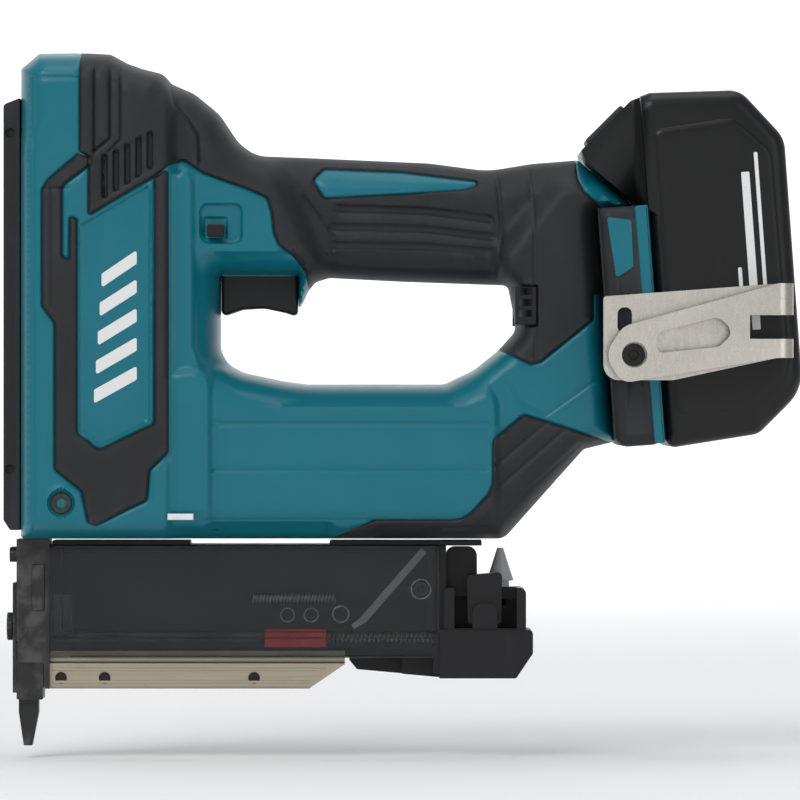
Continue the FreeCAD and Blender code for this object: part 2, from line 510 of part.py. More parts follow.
# ---------------------------------------------------------------- battery
def make_battery():
    split = 13.0
    outline = [(GAP, BASE_FOOT - 1.5, 3), (30, BASE_FOOT + 1, 6), (BATTERY_DEPTH, BASE_FOOT + 14, 14),
               (BATTERY_DEPTH, 20, 10), (32, 36.2, 8), (3.4, 37.4, 3), (-2.4, 35.7, 3), (-19.4, 21, 1),
               (-17.6, 17, 0), (-3.2, 2 + GAP + 0.6, 0), (GAP, GAP, 0)]
    whole = side_plate(outline, -BATTERY_HALF, BATTERY_HALF)
    whole = edge_round(whole, 5.0, lambda b: b.YMax - b.YMin < 0.01 and b.XMin > 0.41 and b.XMax - b.XMin > 0.5)
    head = box(-30, GAP, -LINK_HALF, LINK_HALF, 0, 60)
    whole = whole.common(fuse(head, box(GAP, 99, -99, 99, -99, 99)))
    room = side_plate(inset(outline, WALL), -BATTERY_HALF + WALL, BATTERY_HALF - WALL)
    room = room.common(box(WALL + 1, 99, -99, 99, -99, 99))
    cells = []
    for row in range(2):
        for k in range(5):
            cells.append(V(WALL + CELL_RADIUS + 1.5 + 2.04 * CELL_RADIUS * row, 0,
                           BASE_FOOT + 20.5 + 2.02 * CELL_RADIUS * k))
    cradles = [rod(c - V(0, 32.8, 0), Y_AXIS, CELL_RADIUS + 0.25, 65.6) for c in cells]
    room = fuse(room, *cradles)
    seam = box(split, 99, -99, 99, -99, 99)
    shell = whole.cut(room)
    block = fuse(box(-RAIL_DEEP, -RAIL_LIP, -RAIL_WIDE, RAIL_WIDE, RAIL_FOOT, -1),
                 box(-RAIL_LIP, 1.5, -RAIL_NARROW, RAIL_NARROW, RAIL_FOOT, 1))
    slots = [box(-RAIL_DEEP - 1, -RAIL_DEEP + 5, s * BLADE_Y - 1, s * BLADE_Y + 1, RAIL_FOOT - 1, -34)
             for s in (-1, 1)]
    well = in_plane_box(-15.5, -5.5, -9, 9)
    case = fuse(shell.cut(seam), block)
    case = cut(case, well, *slots)
    save("battery_case", in_bay(case))
    save("battery_cover", in_bay(shell.common(seam)))
    button = in_plane_box(-14.5, -6.5, -8.4, 8.4, 4.6, 0.2)
    save("battery_button", in_bay(button))
    spring = in_plane_box(-12, -9, -2, 2, 7.2, -4.6)
    save("button_spring", in_bay(spring))
    save("battery_cells", *[in_bay(rod(c - V(0, 32.4, 0), Y_AXIS, CELL_RADIUS, 64.8)) for c in cells])
    save("battery_board", in_bay(box(WALL + 3, WALL + 21, -25, 25, 31.6, 33.2)))


def in_plane_box(a0, a1, y0, y1, deep=7.2, proud=1.5):
    """Box sunk square to the battery's sloping head; a0 and a1 run along the slope."""
    slope = math.atan2(35.7 - 21, -2.4 + 19.4)
    solid = box(a0, a1, y0, y1, -deep, proud)
    solid.rotate(V(0, 0, 0), Y_AXIS, -math.degrees(slope))
    solid.translate(V(-2.4, 0, 35.7))
    return solid


# ---------------------------------------------------------------- motor and gears
def make_motor():
    axis = V(0, 0, MOTOR_Z)
    at = lambda x: V(x, 0, MOTOR_Z)
    shell = rod(at(MOTOR_X), X_AXIS, MOTOR_RADIUS, MOTOR_LENGTH)
    hollow = rod(at(MOTOR_X + 3.5), X_AXIS, MOTOR_RADIUS - 3.4, MOTOR_LENGTH - 7)
    seats = [rod(at(MOTOR_X + 0.6), X_AXIS, 4.5, 4), rod(at(MOTOR_X + MOTOR_LENGTH - 4.6), X_AXIS, 4.5, 4)]
    passage = rod(at(MOTOR_X - 1), X_AXIS, 2.4, MOTOR_LENGTH + 2)
    save("motor_can", cut(shell, hollow, passage, *seats))
    bearings = [tube(at(MOTOR_X + 0.6), X_AXIS, 4.5, SHAFT_RADIUS + 0.02, 2.9),
                tube(at(MOTOR_X + MOTOR_LENGTH - 3.5), X_AXIS, 4.5, SHAFT_RADIUS + 0.02, 2.9)]
    save("motor_bearings", *bearings)
    shaft = rod(at(GEARBOX_X + 6.3), X_AXIS, SHAFT_RADIUS, MOTOR_X + MOTOR_LENGTH + 7 - GEARBOX_X - 6.3)
    core = rod(at(MOTOR_X + 8), X_AXIS, MOTOR_RADIUS - 4.0, MOTOR_LENGTH - 16)
    save("rotor", fuse(shaft, core))
    blades = [tube(at(MOTOR_X + MOTOR_LENGTH + 1), X_AXIS, 4, SHAFT_RADIUS, 5.5),
              tube(at(MOTOR_X + MOTOR_LENGTH + 1), X_AXIS, MOTOR_RADIUS - 1.5, 3.5, 1.2)]
    for k in range(9):
        blade = box(MOTOR_X + MOTOR_LENGTH + 1, MOTOR_X + MOTOR_LENGTH + 6, -0.5, 0.5, 3.6, MOTOR_RADIUS - 1.8)
        blade.rotate(V(0, 0, 0), X_AXIS, 40.0 * k)
        blade.translate(axis)
        blades.append(blade)
    save("cooling_fan", fuse(*blades))


def make_gearbox():
    at = lambda x: V(x, 0, MOTOR_Z)
    ring_pitch = RING_TEETH * PLANET_MODULE / 2
    orbit = (SUN_TEETH + PLANET_TEETH) * PLANET_MODULE / 2
    case_radius = ring_pitch + 3.2
    gear_x, gear_end = GEARBOX_X + 6.4, GEARBOX_X + 13.4
    outer = rod(at(GEARBOX_X), X_AXIS, case_radius, MOTOR_X - GEARBOX_X)
    front_room = rod(at(GEARBOX_X + 2.6), X_AXIS, ring_pitch + 0.6, gear_x - 0.4 - GEARBOX_X - 2.6)
    ring = wheel_x(0, MOTOR_Z, gear_x - 0.4, gear_end + 0.4, PLANET_MODULE, RING_TEETH,
                   math.pi / RING_TEETH, -0.16, 1.2, 0.55)
    back_room = rod(at(gear_end + 0.4), X_AXIS, ring_pitch + 0.6, MOTOR_X - gear_end)
    save("gearbox_case", cut(outer, front_room, ring, back_room,
                             rod(at(GEARBOX_X - 1), X_AXIS, 2.6 + FIT, 5)))
    save("sun_gear", wheel_x(0, MOTOR_Z, gear_x, gear_end, PLANET_MODULE, SUN_TEETH, 0).cut(
        rod(at(gear_x - 1), X_AXIS, SHAFT_RADIUS, 10)))
    pins = []
    for k in range(3):
        turn = 2 * math.pi * k / 3
        y, z = orbit * math.cos(turn), MOTOR_Z + orbit * math.sin(turn)
        planet = wheel_x(y, z, gear_x, gear_end, PLANET_MODULE, PLANET_TEETH, turn + math.pi / PLANET_TEETH)
        save("planet_gear_%d" % (k + 1), planet.cut(rod(V(gear_x - 1, y, z), X_AXIS, 1.5 + FIT, 9)))
        pins.append(rod(V(gear_x - 1, y, z), X_AXIS, 1.5, gear_end - gear_x + 1))
    plate = rod(at(GEARBOX_X + 3.0), X_AXIS, orbit + 3, gear_x - 0.4 - GEARBOX_X - 3.0)
    shaft = rod(at(IDLER_X + FACE_RADIUS - 0.8), X_AXIS, 2.6, GEARBOX_X + 4 - IDLER_X - FACE_RADIUS + 0.8)
    pinion = wheel_x(0, MOTOR_Z, IDLER_X + FACE_RADIUS - 0.8, IDLER_X + FACE_RADIUS + 1.4, FACE_MODULE,
                     FACE_PINION_TEETH, 0.0, 0.3)
    save("planet_carrier", fuse(plate, shaft, pinion, *pins))


def make_train():
    """Right-angle face gear and idler, then the wheel and part-toothed gear that lifts the rack."""
    outside = FRAME_HALF + 0.4
    face_y = FACE_PINION + 1.15 * FACE_MODULE
    inner, outer = FACE_RADIUS - 1.0, FACE_RADIUS + 1.6
    at = lambda y: V(IDLER_X, y, IDLER_Z)
    disc = rod(at(face_y), Y_AXIS, outer, 3)
    teeth = []
    for k in range(FACE_TEETH):
        height = FACE_PINION - 0.6 * FACE_MODULE
        tooth = cross_plate([(height, -0.14), (height, 0.14), (face_y + 0.5, 0.5), (face_y + 0.5, -0.5)],
                            inner, outer)
        tooth.rotate(V(0, 0, 0), Y_AXIS, 360.0 * (k + 0.5) / FACE_TEETH)
        tooth.translate(V(IDLER_X, 0, IDLER_Z))
        teeth.append(tooth)
    hub = rod(at(face_y - 0.5), Y_AXIS, 3.7, outside - face_y + 0.5)
    pinion = wheel_y(IDLER_X, IDLER_Z, outside, outside + 4, TRAIN_MODULE, IDLER_TEETH, IDLER_PHASE)
    idler = fuse(disc, hub, pinion, *teeth)
    save("idler_gear", idler.cut(rod(at(-30), Y_AXIS, 2 + FIT, 60)))
    at = lambda y: V(LIFTER_X, y, LIFTER_Z)
    kept = set(range(14)) | {SECTOR_TEETH - 1}
    sector = wheel_y(LIFTER_X, LIFTER_Z, -4, 3, TRAIN_MODULE, SECTOR_TEETH, math.pi, 0.9, kept)
    wheel = wheel_y(LIFTER_X, LIFTER_Z, outside, outside + 3.6, TRAIN_MODULE, WHEEL_TEETH, WHEEL_PHASE, 0.6)
    hub = rod(at(3), Y_AXIS, 5.9, outside - 3)
    lifter = fuse(sector, hub, wheel)
    save("lifter_gear", lifter.cut(rod(at(-30), Y_AXIS, 3 + FIT, 60)))
    axles = [rod(V(IDLER_X, -FRAME_HALF, IDLER_Z), Y_AXIS, 2, FRAME_HALF + outside + 4.2),
             rod(V(LIFTER_X, -FRAME_HALF, LIFTER_Z), Y_AXIS, 3, FRAME_HALF + outside + 3.8)]
    save("gear_axles", *axles)


LINE = math.atan2(LIFTER_Z - IDLER_Z, LIFTER_X - IDLER_X)
IDLER_PHASE = LINE
WHEEL_PHASE = LINE + math.pi + math.pi / WHEEL_TEETH


# ---------------------------------------------------------------- drive mechanism
def make_drive():
    high = LIFTER_Z + WHEEL_PITCH + 6
    cheek = [(FRAME_X[0], FRAME_FLOOR, 0), (FRAME_X[0], SPRING_TOP + 4, 2), (ROD_X + 14, SPRING_TOP + 4, 2),
             (ROD_X + 14, high + 12, 4), (COLUMN_BACK, high, 3), (COLUMN_BACK, TUBE_TOP - 3, 0),
             (FRAME_X[1], TUBE_TOP - 6, 1), (FRAME_X[1], FRAME_FLOOR, 0)]
    plates = [side_plate(cheek, s * FRAME_HALF, s * CHEEK) for s in (-1, 1)]
    floor = box(FRAME_X[0], FRAME_X[1], -CHEEK, CHEEK, FRAME_FLOOR, FLOOR_TOP)
    roof = box(FRAME_X[0], ROD_X + 14, -CHEEK, CHEEK, SPRING_TOP, SPRING_TOP + 4)
    frame = fuse(floor, roof, *plates)
    holes = [rod(V(IDLER_X, -30, IDLER_Z), Y_AXIS, 2, 30), rod(V(IDLER_X, 0, IDLER_Z), Y_AXIS, 3.8 + FIT, 30),
             rod(V(LIFTER_X, -30, LIFTER_Z), Y_AXIS, 3, 30), rod(V(LIFTER_X, 0, LIFTER_Z), Y_AXIS, 6.0 + FIT, 30),
             rod(V(ROD_X, 0, FRAME_FLOOR + 1.5), Z_AXIS, ROD_RADIUS, SPRING_TOP + 2 - FRAME_FLOOR - 1.5)]
    for y in (-FRAME_HALF - 1, CHEEK - 1):
        holes.append(rod(V(COLUMN_SCREW[0], y, COLUMN_SCREW[1]), Y_AXIS, SCREW_RADIUS, FRAME_PLATE + 2))
    save("drive_frame", cut(frame, *holes))
    save("guide_rod", rod(V(ROD_X, 0, FRAME_FLOOR + 1.5), Z_AXIS, ROD_RADIUS, SPRING_TOP + 2 - FRAME_FLOOR - 1.5))
    plunger_top = PLUNGER_Z + PLUNGER_HEIGHT
    save("drive_spring", tube(V(ROD_X, 0, plunger_top), Z_AXIS, SPRING_OUTER, SPRING_OUTER - SPRING_WIRE,
                              SPRING_TOP - plunger_top))
    save("stop_bumper", tube(V(ROD_X, 0, FLOOR_TOP), Z_AXIS, 8.8, ROD_RADIUS + 0.5, PLUNGER_Z - 0.3 - FLOOR_TOP))
    hub = rod(V(ROD_X, 0, PLUNGER_Z), Z_AXIS, SPRING_OUTER, PLUNGER_HEIGHT)
    arm = box(BLADE_THICK / 2, ROD_X, -4, 4, PLUNGER_Z, plunger_top)
    pitch = math.pi * TRAIN_MODULE
    low, high = PLUNGER_Z - 4.3, LIFTER_Z + 4.4
    bar = box(RACK_BACK, RACK_PITCH - 1.25 * TRAIN_MODULE, -3, 3, low, high)
    bridge = box(ROD_X, RACK_PITCH - 1.25 * TRAIN_MODULE, -3, 3, PLUNGER_Z, plunger_top)
    teeth = []
    count = int((high - low) / pitch) + 2
    for k in range(-count, count):
        z = LIFTER_Z + (k + 0.5) * pitch
        if z - 1.2 < low or z + 1.2 > high:
            continue
        back, tip = 1.3 * TRAIN_MODULE, 0.85 * TRAIN_MODULE
        slope = math.tan(math.radians(20))
        wide = pitch / 4 - 0.08 + slope * back
        thin = pitch / 4 - 0.08 - slope * tip
        teeth.append(side_plate([(RACK_PITCH - back, z - wide), (RACK_PITCH + tip, z - thin),
                                 (RACK_PITCH + tip, z + thin), (RACK_PITCH - back, z + wide)], -3, 3))
    body = fuse(hub, arm, bar, bridge, *teeth)
    save("plunger", body.cut(rod(V(ROD_X, 0, 0), Z_AXIS, ROD_RADIUS + FIT, 300)))
    save("driver_blade", box(-BLADE_THICK / 2, BLADE_THICK / 2, -BLADE_WIDTH / 2, BLADE_WIDTH / 2,
                             2.0, plunger_top - 1))


# ---------------------------------------------------------------- nose
def make_nose():
    low = UNDERSIDE - 33.0
    guide = side_plate([(-3.3, low, 0.8), (-3.3, UNDERSIDE, 0), (MAG_X - 0.1, UNDERSIDE, 0),
                        (MAG_X - 0.1, MAG_FLOOR - 9.8, 0), (5.8, MAG_FLOOR - 9.8, 0), (5.8, low, 0)],
                       -NOSE_HALF, NOSE_HALF)
    blade_way = box(-BLADE_THICK / 2 - 0.1, BLADE_THICK / 2 + 0.1, -BLADE_WIDTH / 2 - 0.1,
                    BLADE_WIDTH / 2 + 0.1, 0, 99)
    feed = box(0, MAG_X + 1, -1.0, 1.0, low - 1, MAG_TOP - 4)
    post = V(2.4, 5.0, low + 7)
    spring_bore = rod(V(post.x, post.y, low - 1), Z_AXIS, 1.7, 20)
    bolts = [screw(V(-5.6, s * 5.0, UNDERSIDE - 5.0), X_AXIS, 7.0, 2.4, 1.2) for s in (-1, 1)]
    save("driver_guide", cut(guide, blade_way, feed, spring_bore, *bolts))
    tip_slot = box(-BLADE_THICK / 2 - 0.2, BLADE_THICK / 2 + 0.2, -BLADE_WIDTH / 2 - 0.3, BLADE_WIDTH / 2 + 0.3, -1, 40)
    block = side_plate([(-3.4, 14.9, 0.6), (-3.4, low - CONTACT_TRAVEL - 0.6, 0.4), (5.1, low - CONTACT_TRAVEL - 0.6, 0.4),
                        (5.1, 14.9, 0.6)], -6.0, 6.0)
    neck = side_plate([(-2.9, 15, 0), (-2.9, 10.8, 0), (-1.3, 0, 0.3), (1.4, 0, 0.3), (3.5, 10.8, 0), (3.5, 15, 0)],
                      -2.6, 2.6)
    stem = rod(V(post.x, post.y, 20), Z_AXIS, 1.3, post.z - 20)
    save("contact_tip", fuse(block, neck, stem).cut(tip_slot))
    save("contact_spring", tube(post, Z_AXIS, 1.45, 0.9, 12))
    arm = side_plate([(-4.8, 17, 0.4), (-4.8, UNDERSIDE - 14, 0.5), (-3.5, UNDERSIDE - 14, 0), (-3.5, 17, 0)], -3.6, 3.6)
    dial = V(-4.8, 0, UNDERSIDE - 28.2)
    stub = rod(dial, -X_AXIS, 1.2, 1.9)
    arm = cut(arm, box(-3.7, -3.3, -9, 9, low - 0.1, 80))
    save("contact_arm", fuse(arm, stub))
    wheel = tube(V(-6.7, 0, dial.z), X_AXIS, 4.5, 1.2 + FIT, 1.7)
    grooves = []
    for k in range(16):
        groove = box(-8, -4, -0.45, 0.45, 4.1, 6)
        groove.rotate(V(0, 0, 0), X_AXIS, 22.5 * k)
        groove.translate(V(0, 0, dial.z))
        grooves.append(groove)
    save("depth_adjuster", cut(wheel, *grooves))
    rail = cross_plate([(-6, MAG_FLOOR - 9.9, 1), (-6, MAG_FLOOR - 1.4, 0.6), (-2, MAG_FLOOR - 1.4, 0),
                        (-2, MAG_FLOOR + 0.6, 0), (-4, MAG_FLOOR + 0.6, 0), (-4, MAG_FLOOR + 2.2, 0),
                        (4, MAG_FLOOR + 2.2, 0), (4, MAG_FLOOR + 0.6, 0), (2, MAG_FLOOR + 0.6, 0),
                        (2, MAG_FLOOR - 1.4, 0), (6, MAG_FLOOR - 1.4, 0.6), (6, MAG_FLOOR - 9.9, 1)],
                       MAG_X - 0.1, RAIL_END)
    screws, spaces = list(bolts), []
    for x in (MAG_X + 3.5, MAG_X + 17.5, RAIL_END - 29.1):
        place = (V(x, -6.3, MAG_FLOOR - 6.4), Y_AXIS, 6, 1.9, 1.1)
        screws.append(screw(*place))
        spaces.append(screw_space(*place))
    rail = cut(rail, side_plate([(RAIL_END + 0.1, MAG_FLOOR - 10), (RAIL_END - 11.6, MAG_FLOOR - 10),
                                 (RAIL_END + 0.1, MAG_FLOOR - 2)], -9, 9), *spaces)
    save("magazine_rail", rail)
    save("nose_screws", *screws)


# ---------------------------------------------------------------- magazine
def make_magazine():
    split = -1.2
    wide = MAGAZINE_HALF
    body = box(MAG_X, MAG_END, split, wide, MAG_FLOOR, MAG_TOP)
    lower = side_plate([(RAIL_END + 1.4, MAG_FLOOR - 1, 0), (RAIL_END + 3.9, MAG_FLOOR - 4, 0),
                        (MAG_END, MAG_FLOOR - 6.4, 0), (MAG_END, MAG_FLOOR, 0), (RAIL_END + 1.4, MAG_FLOOR, 0)],
                       split, wide)
    body = fuse(body, lower)
    rail_way = fuse(box(MAG_X - 1, MAG_END - 12, -4 - GAP, 4 + GAP, MAG_FLOOR + 0.6 - GAP, MAG_FLOOR + 2.2 + GAP),
                    box(MAG_X - 1, MAG_END - 12, -2 - GAP, 2 + GAP, MAG_FLOOR - 9, MAG_FLOOR + 1))
    track = box(MAG_X - 1, MAG_END - 4, split - 1, 1.0, MAG_FLOOR + 5, MAG_TOP - 3)
    relief = box(MAG_X + 4, MAG_END - 4, 3.4, wide - 1.8, MAG_FLOOR + 5, MAG_TOP - 2)
    save("magazine_body", cut(body, rail_way, track, relief))
    cover = box(MAG_X, MAG_END, -wide, split, MAG_FLOOR, MAG_TOP)
    cover = edge_round(cover, 1.5, lambda b: b.YMax < -wide + 0.01 and b.XMax - b.XMin > 9)
    room = box(MAG_X - 1, MAG_END - 2, -wide + 1.6, split + 1, MAG_FLOOR + 3.2, MAG_TOP - 2)
    lug = box(MAG_X + 64, MAG_X + 64.8, -wide + 1.6, split, MAG_TOP - 20, MAG_TOP - 15)
    stop = box(MAG_X + 91.9, MAG_X + 92.7, -wide + 1.6, split, MAG_TOP - 20, MAG_TOP - 15)
    foot = box(MAG_END - 2, MAG_END, -wide, split, MAG_FLOOR - 5, MAG_FLOOR)
    save("magazine_cover", fuse(cut(cover, room, rail_way), lug, stop, foot))
    axis_z, axis_y = MAG_FLOOR + 6.4, -5.0
    start, back = MAG_X + 69, MAG_X + 88.6
    pusher = box(start, back, -7.4, split - GAP, MAG_FLOOR + 3.6, MAG_FLOOR + 9.2)
    bore = rod(V(start + 4, axis_y, axis_z), X_AXIS, 2.1, 30)
    strip = box(MAG_X + 1, start + 1, split - GAP - 0.9, split - GAP, MAG_FLOOR + 5, MAG_FLOOR + 8)
    toe = box(MAG_X + 1, MAG_X + 7, split - GAP - 0.9, 0.6, MAG_FLOOR + 6, MAG_FLOOR + 20)
    window = box(start + 6, start + 13, -9, -7.1, MAG_FLOOR + 5.4, MAG_FLOOR + 7.4)
    save("pusher", cut(fuse(pusher, strip, toe), bore, window))
    save("pusher_spring", tube(V(start + 4, axis_y, axis_z), X_AXIS, 1.7, 1.1, MAG_END - 2 - start - 4))
    save("lockout_spring", tube(V(MAG_X + 64.8, -5, MAG_TOP - 17.5), X_AXIS, 1.7, 1.1, 27.1))
    make_end_cap()


def make_end_cap():
    half = MAGAZINE_HALF + 1.0
    low = MAG_FLOOR - 6.4
    block = side_plate([(MAG_END, low, 0), (CAP_X + 23.4, low, 1), (CAP_X + 28.8, low + 8, 1.5),
                        (CAP_X + 28.8, low + 15.6, 1.5), (MAG_END, low + 15.6, 0)], -half, half)
    frame = side_plate([(CAP_X + 0.2, low + 14, 0), (CAP_X + 0.2, low + 29, 1.5), (CAP_X + 26.6, low + 29, 2),
                        (CAP_X + 26.6, low + 14, 0)], -half + 1, half - 1)
    tab = side_plate([(CAP_X + 0.9, low + 26, 0), (CAP_X + 0.9, low + 42, 3), (CAP_X + 11, low + 42, 3),
                      (CAP_X + 11, low + 26, 0)], 1.2, half - 1)
    lever_room = box(CAP_X + 3.6, CAP_X + 23.6, -half - 1, half - 3.4, low + 16, low + 50)
    side_window = box(CAP_X + 4, CAP_X + 7.5, -50, 50, low + 18, low + 26)
    pivot = V(CAP_X + 13.4, 0, low + 20.0)
    pin = rod(V(pivot.x, -half + 1.2, pivot.z), Y_AXIS, 1.3, 2 * half - 2.4)
    ears = [side_plate([(pivot.x - 4, low + 15, 0), (pivot.x - 4, low + 24, 3), (pivot.x + 4, low + 24, 3),
                        (pivot.x + 4, low + 15, 0)], y, y + 1.8) for y in (-half + 1, half - 3.2)]
    socket = rod(V(CAP_X + 18.5, 4.8, low + 31), -Z_AXIS, 3.0, 8)
    shelf = box(CAP_X + 14, CAP_X + 23.6, 1.2, half - 3.3, low + 25, low + 29)
    cap = fuse(block, frame.cut(lever_room), tab.cut(side_window), shelf, *ears)
    save("end_cap", cut(cap, side_window.common(box(0, 999, -50, -half + 3, 0, 99)), pin, socket))
    save("latch_pin", pin)
    lever = side_plate([(CAP_X + 8, low + 17.4, 1), (CAP_X + 7.6, low + 33, 1.5), (CAP_X + 19, low + 34, 1.5),
                        (CAP_X + 18.6, low + 17.4, 1)], -half + 3.2, -0.4)
    side_room = rod(V(pivot.x, -3.6, pivot.z), Y_AXIS, 3.4, 20)
    lever = cut(lever, rod(V(pivot.x, -50, pivot.z), Y_AXIS, 1.3 + FIT, 100), side_room)
    save("latch_lever", lever)
    save("latch_spring", tube(V(pivot.x, -3.2, pivot.z), Y_AXIS, 2.9, 1.7, 3.2))
    cone = Part.makeCone(4.4, 1.0, 10.6, V(CAP_X + 18.5, 4.8, low + 31), Z_AXIS)
    stem = rod(V(CAP_X + 18.5, 4.8, low + 31), -Z_AXIS, 2.95, 5)
    save("nose_adapter", fuse(cone, stem))


def main():
    os.makedirs(OUT, exist_ok=True)
    make_housing()
    make_hook()
    make_controls()
    make_battery()
    make_motor()
    make_gearbox()
    make_train()
    make_drive()
    make_nose()
    make_magazine()


main()
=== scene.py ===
"""Looks of a cordless brad nailer: moulded shells, soft grip, battery, magazine, springs and metal."""
import json
import math

import bmesh
import bpy
import numpy as np
from bpy.props import FloatProperty, FloatVectorProperty, IntProperty, PointerProperty
from mathutils import Matrix, Vector, geometry


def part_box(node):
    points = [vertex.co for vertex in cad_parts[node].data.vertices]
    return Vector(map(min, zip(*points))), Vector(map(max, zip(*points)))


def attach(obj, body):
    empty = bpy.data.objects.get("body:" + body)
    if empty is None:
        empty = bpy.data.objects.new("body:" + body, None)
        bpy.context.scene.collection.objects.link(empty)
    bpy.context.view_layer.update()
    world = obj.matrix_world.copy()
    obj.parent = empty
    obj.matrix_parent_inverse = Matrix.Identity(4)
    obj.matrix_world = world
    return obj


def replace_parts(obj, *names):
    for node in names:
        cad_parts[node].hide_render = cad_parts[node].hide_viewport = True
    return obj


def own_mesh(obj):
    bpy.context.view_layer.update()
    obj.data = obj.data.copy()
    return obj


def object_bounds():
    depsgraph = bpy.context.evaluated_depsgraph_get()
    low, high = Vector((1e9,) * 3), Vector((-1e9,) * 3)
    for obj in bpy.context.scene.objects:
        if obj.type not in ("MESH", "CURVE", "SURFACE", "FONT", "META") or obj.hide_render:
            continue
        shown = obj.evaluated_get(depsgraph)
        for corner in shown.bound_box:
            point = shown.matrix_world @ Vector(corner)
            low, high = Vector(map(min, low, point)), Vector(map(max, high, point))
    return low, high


bl_info = {
    "name": "Cordless brad nailer",
    "version": (1, 0, 0),
    "blender": (4, 5, 0),
    "location": "View3D > Sidebar > Nailer",
    "description": "Dresses the packed model of a brad nailer with moulded shells and finishes",
    "category": "Object",
}

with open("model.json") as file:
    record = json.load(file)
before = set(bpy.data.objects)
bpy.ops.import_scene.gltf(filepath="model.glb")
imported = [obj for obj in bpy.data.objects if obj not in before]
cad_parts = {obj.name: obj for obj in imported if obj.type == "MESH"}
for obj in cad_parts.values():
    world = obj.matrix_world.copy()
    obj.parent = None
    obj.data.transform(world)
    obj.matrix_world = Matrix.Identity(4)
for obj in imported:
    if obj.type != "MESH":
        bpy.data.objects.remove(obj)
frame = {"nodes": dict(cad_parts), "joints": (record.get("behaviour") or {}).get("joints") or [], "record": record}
CAD_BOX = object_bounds()
MM = 0.001


def low(node):
    """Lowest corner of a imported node, in millimetres."""
    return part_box(node)[0] / MM


def high(node):
    """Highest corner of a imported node, in millimetres."""
    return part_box(node)[1] / MM


# ------------------------------------------------------------------ places, in mm from the nose tip
FRONT = low("housing_left").x
UNDER = low("housing_left").z
TOP = high("housing_left").z
COLUMN_HALF = -low("grip_left").y
BATTERY_HALF = high("battery_case").y
SLIDE = next(j["axis"] for j in frame["joints"] if j["name"] == "battery_slide")
TILT = math.atan2(-SLIDE[0], SLIDE[2])
BAY = (198.2, 171.0)
WELD = 1e-6  # metres within which a made mesh's points are one
NODE_WELD = 2e-6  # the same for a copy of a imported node
COVER_LIFT = 0.06  # keeps the clear cover's back off the face that it rests on


def bay(u, w, *radius):
    """Place in X and Z of a point given across and up the tilted battery bay."""
    x = BAY[0] + u * math.cos(TILT) - w * math.sin(TILT)
    z = BAY[1] + u * math.sin(TILT) + w * math.cos(TILT)
    return (x, z, *radius)


# ------------------------------------------------------------------ user settings
class ShellSettings(bpy.types.PropertyGroup):
    shell_colour: FloatVectorProperty(name="Shell colour", description="Hard moulded housing",
                                      subtype="COLOR", size=3, min=0, max=1, default=(0.003, 0.150, 0.200))
    grip_colour: FloatVectorProperty(name="Grip colour", description="Soft overmould", subtype="COLOR",
                                     size=3, min=0, max=1, default=(0.017, 0.018, 0.0205))
    mesh_step: FloatProperty(name="Mesh step", description="Grid of the moulded shells, in millimetres",
                             default=1.15, min=0.6, max=3)
    wall: FloatProperty(name="Wall", description="Wall of the moulded shells, in millimetres",
                        default=1.6, min=0.8, max=3)
    seam_depth: FloatProperty(name="Seam depth", description="Groove between shell and grip, in millimetres",
                              default=0.7, min=0, max=1.5)
    grip_rise: FloatProperty(name="Grip rise", default=0.6, min=0, max=1.5,
                             description="Height of the grip above the shell, in millimetres")


class MetalSettings(bpy.types.PropertyGroup):
    pusher_turns: IntProperty(name="Pusher spring turns", description="Turns of the pusher spring",
                              default=34, min=4, max=80)
    lockout_turns: IntProperty(name="Lock-out spring turns", description="Turns of the lock-out spring",
                               default=24, min=4, max=60)
    hook_colour: FloatVectorProperty(name="Hook colour", description="Plated sheet of the belt hook",
                                     subtype="COLOR", size=3, min=0, max=1, default=(0.62, 0.585, 0.53))


class StageSettings(bpy.types.PropertyGroup):
    view_width: FloatProperty(name="View width", description="Width that the camera takes in, in metres",
                              default=0.2515, unit="LENGTH")
    distance: FloatProperty(name="Distance", description="From the camera to the middle of the tool",
                            default=1.9, unit="LENGTH")
    backdrop: FloatVectorProperty(name="Backdrop", description="Floor and backdrop colour", subtype="COLOR",
                                  size=3, min=0, max=1, default=(0.93, 0.93, 0.93))


# ------------------------------------------------------------------ shader maths
class Value:
    """A number socket of a material, with Python's own arithmetic."""

    def __init__(self, finish, socket):
        self.finish, self.socket = finish, socket

    def _math(self, operation, first, second):
        return self.finish.number("ShaderNodeMath", {"operation": operation}, {0: first, 1: second})

    def __add__(self, other):
        return self._math("ADD", self, other)

    __radd__ = __add__

    def __sub__(self, other):
        return self._math("SUBTRACT", self, other)

    def __rsub__(self, other):
        return self._math("SUBTRACT", other, self)

    def __mul__(self, other):
        return self._math("MULTIPLY", self, other)

    __rmul__ = __mul__

    def step(self, start, end):
        """0 below start, 1 above end, smooth between."""
        settings = {"interpolation_type": "SMOOTHSTEP"}
        return self.finish.number("ShaderNodeMapRange", settings, {"Value": self, 1: start, 2: end})


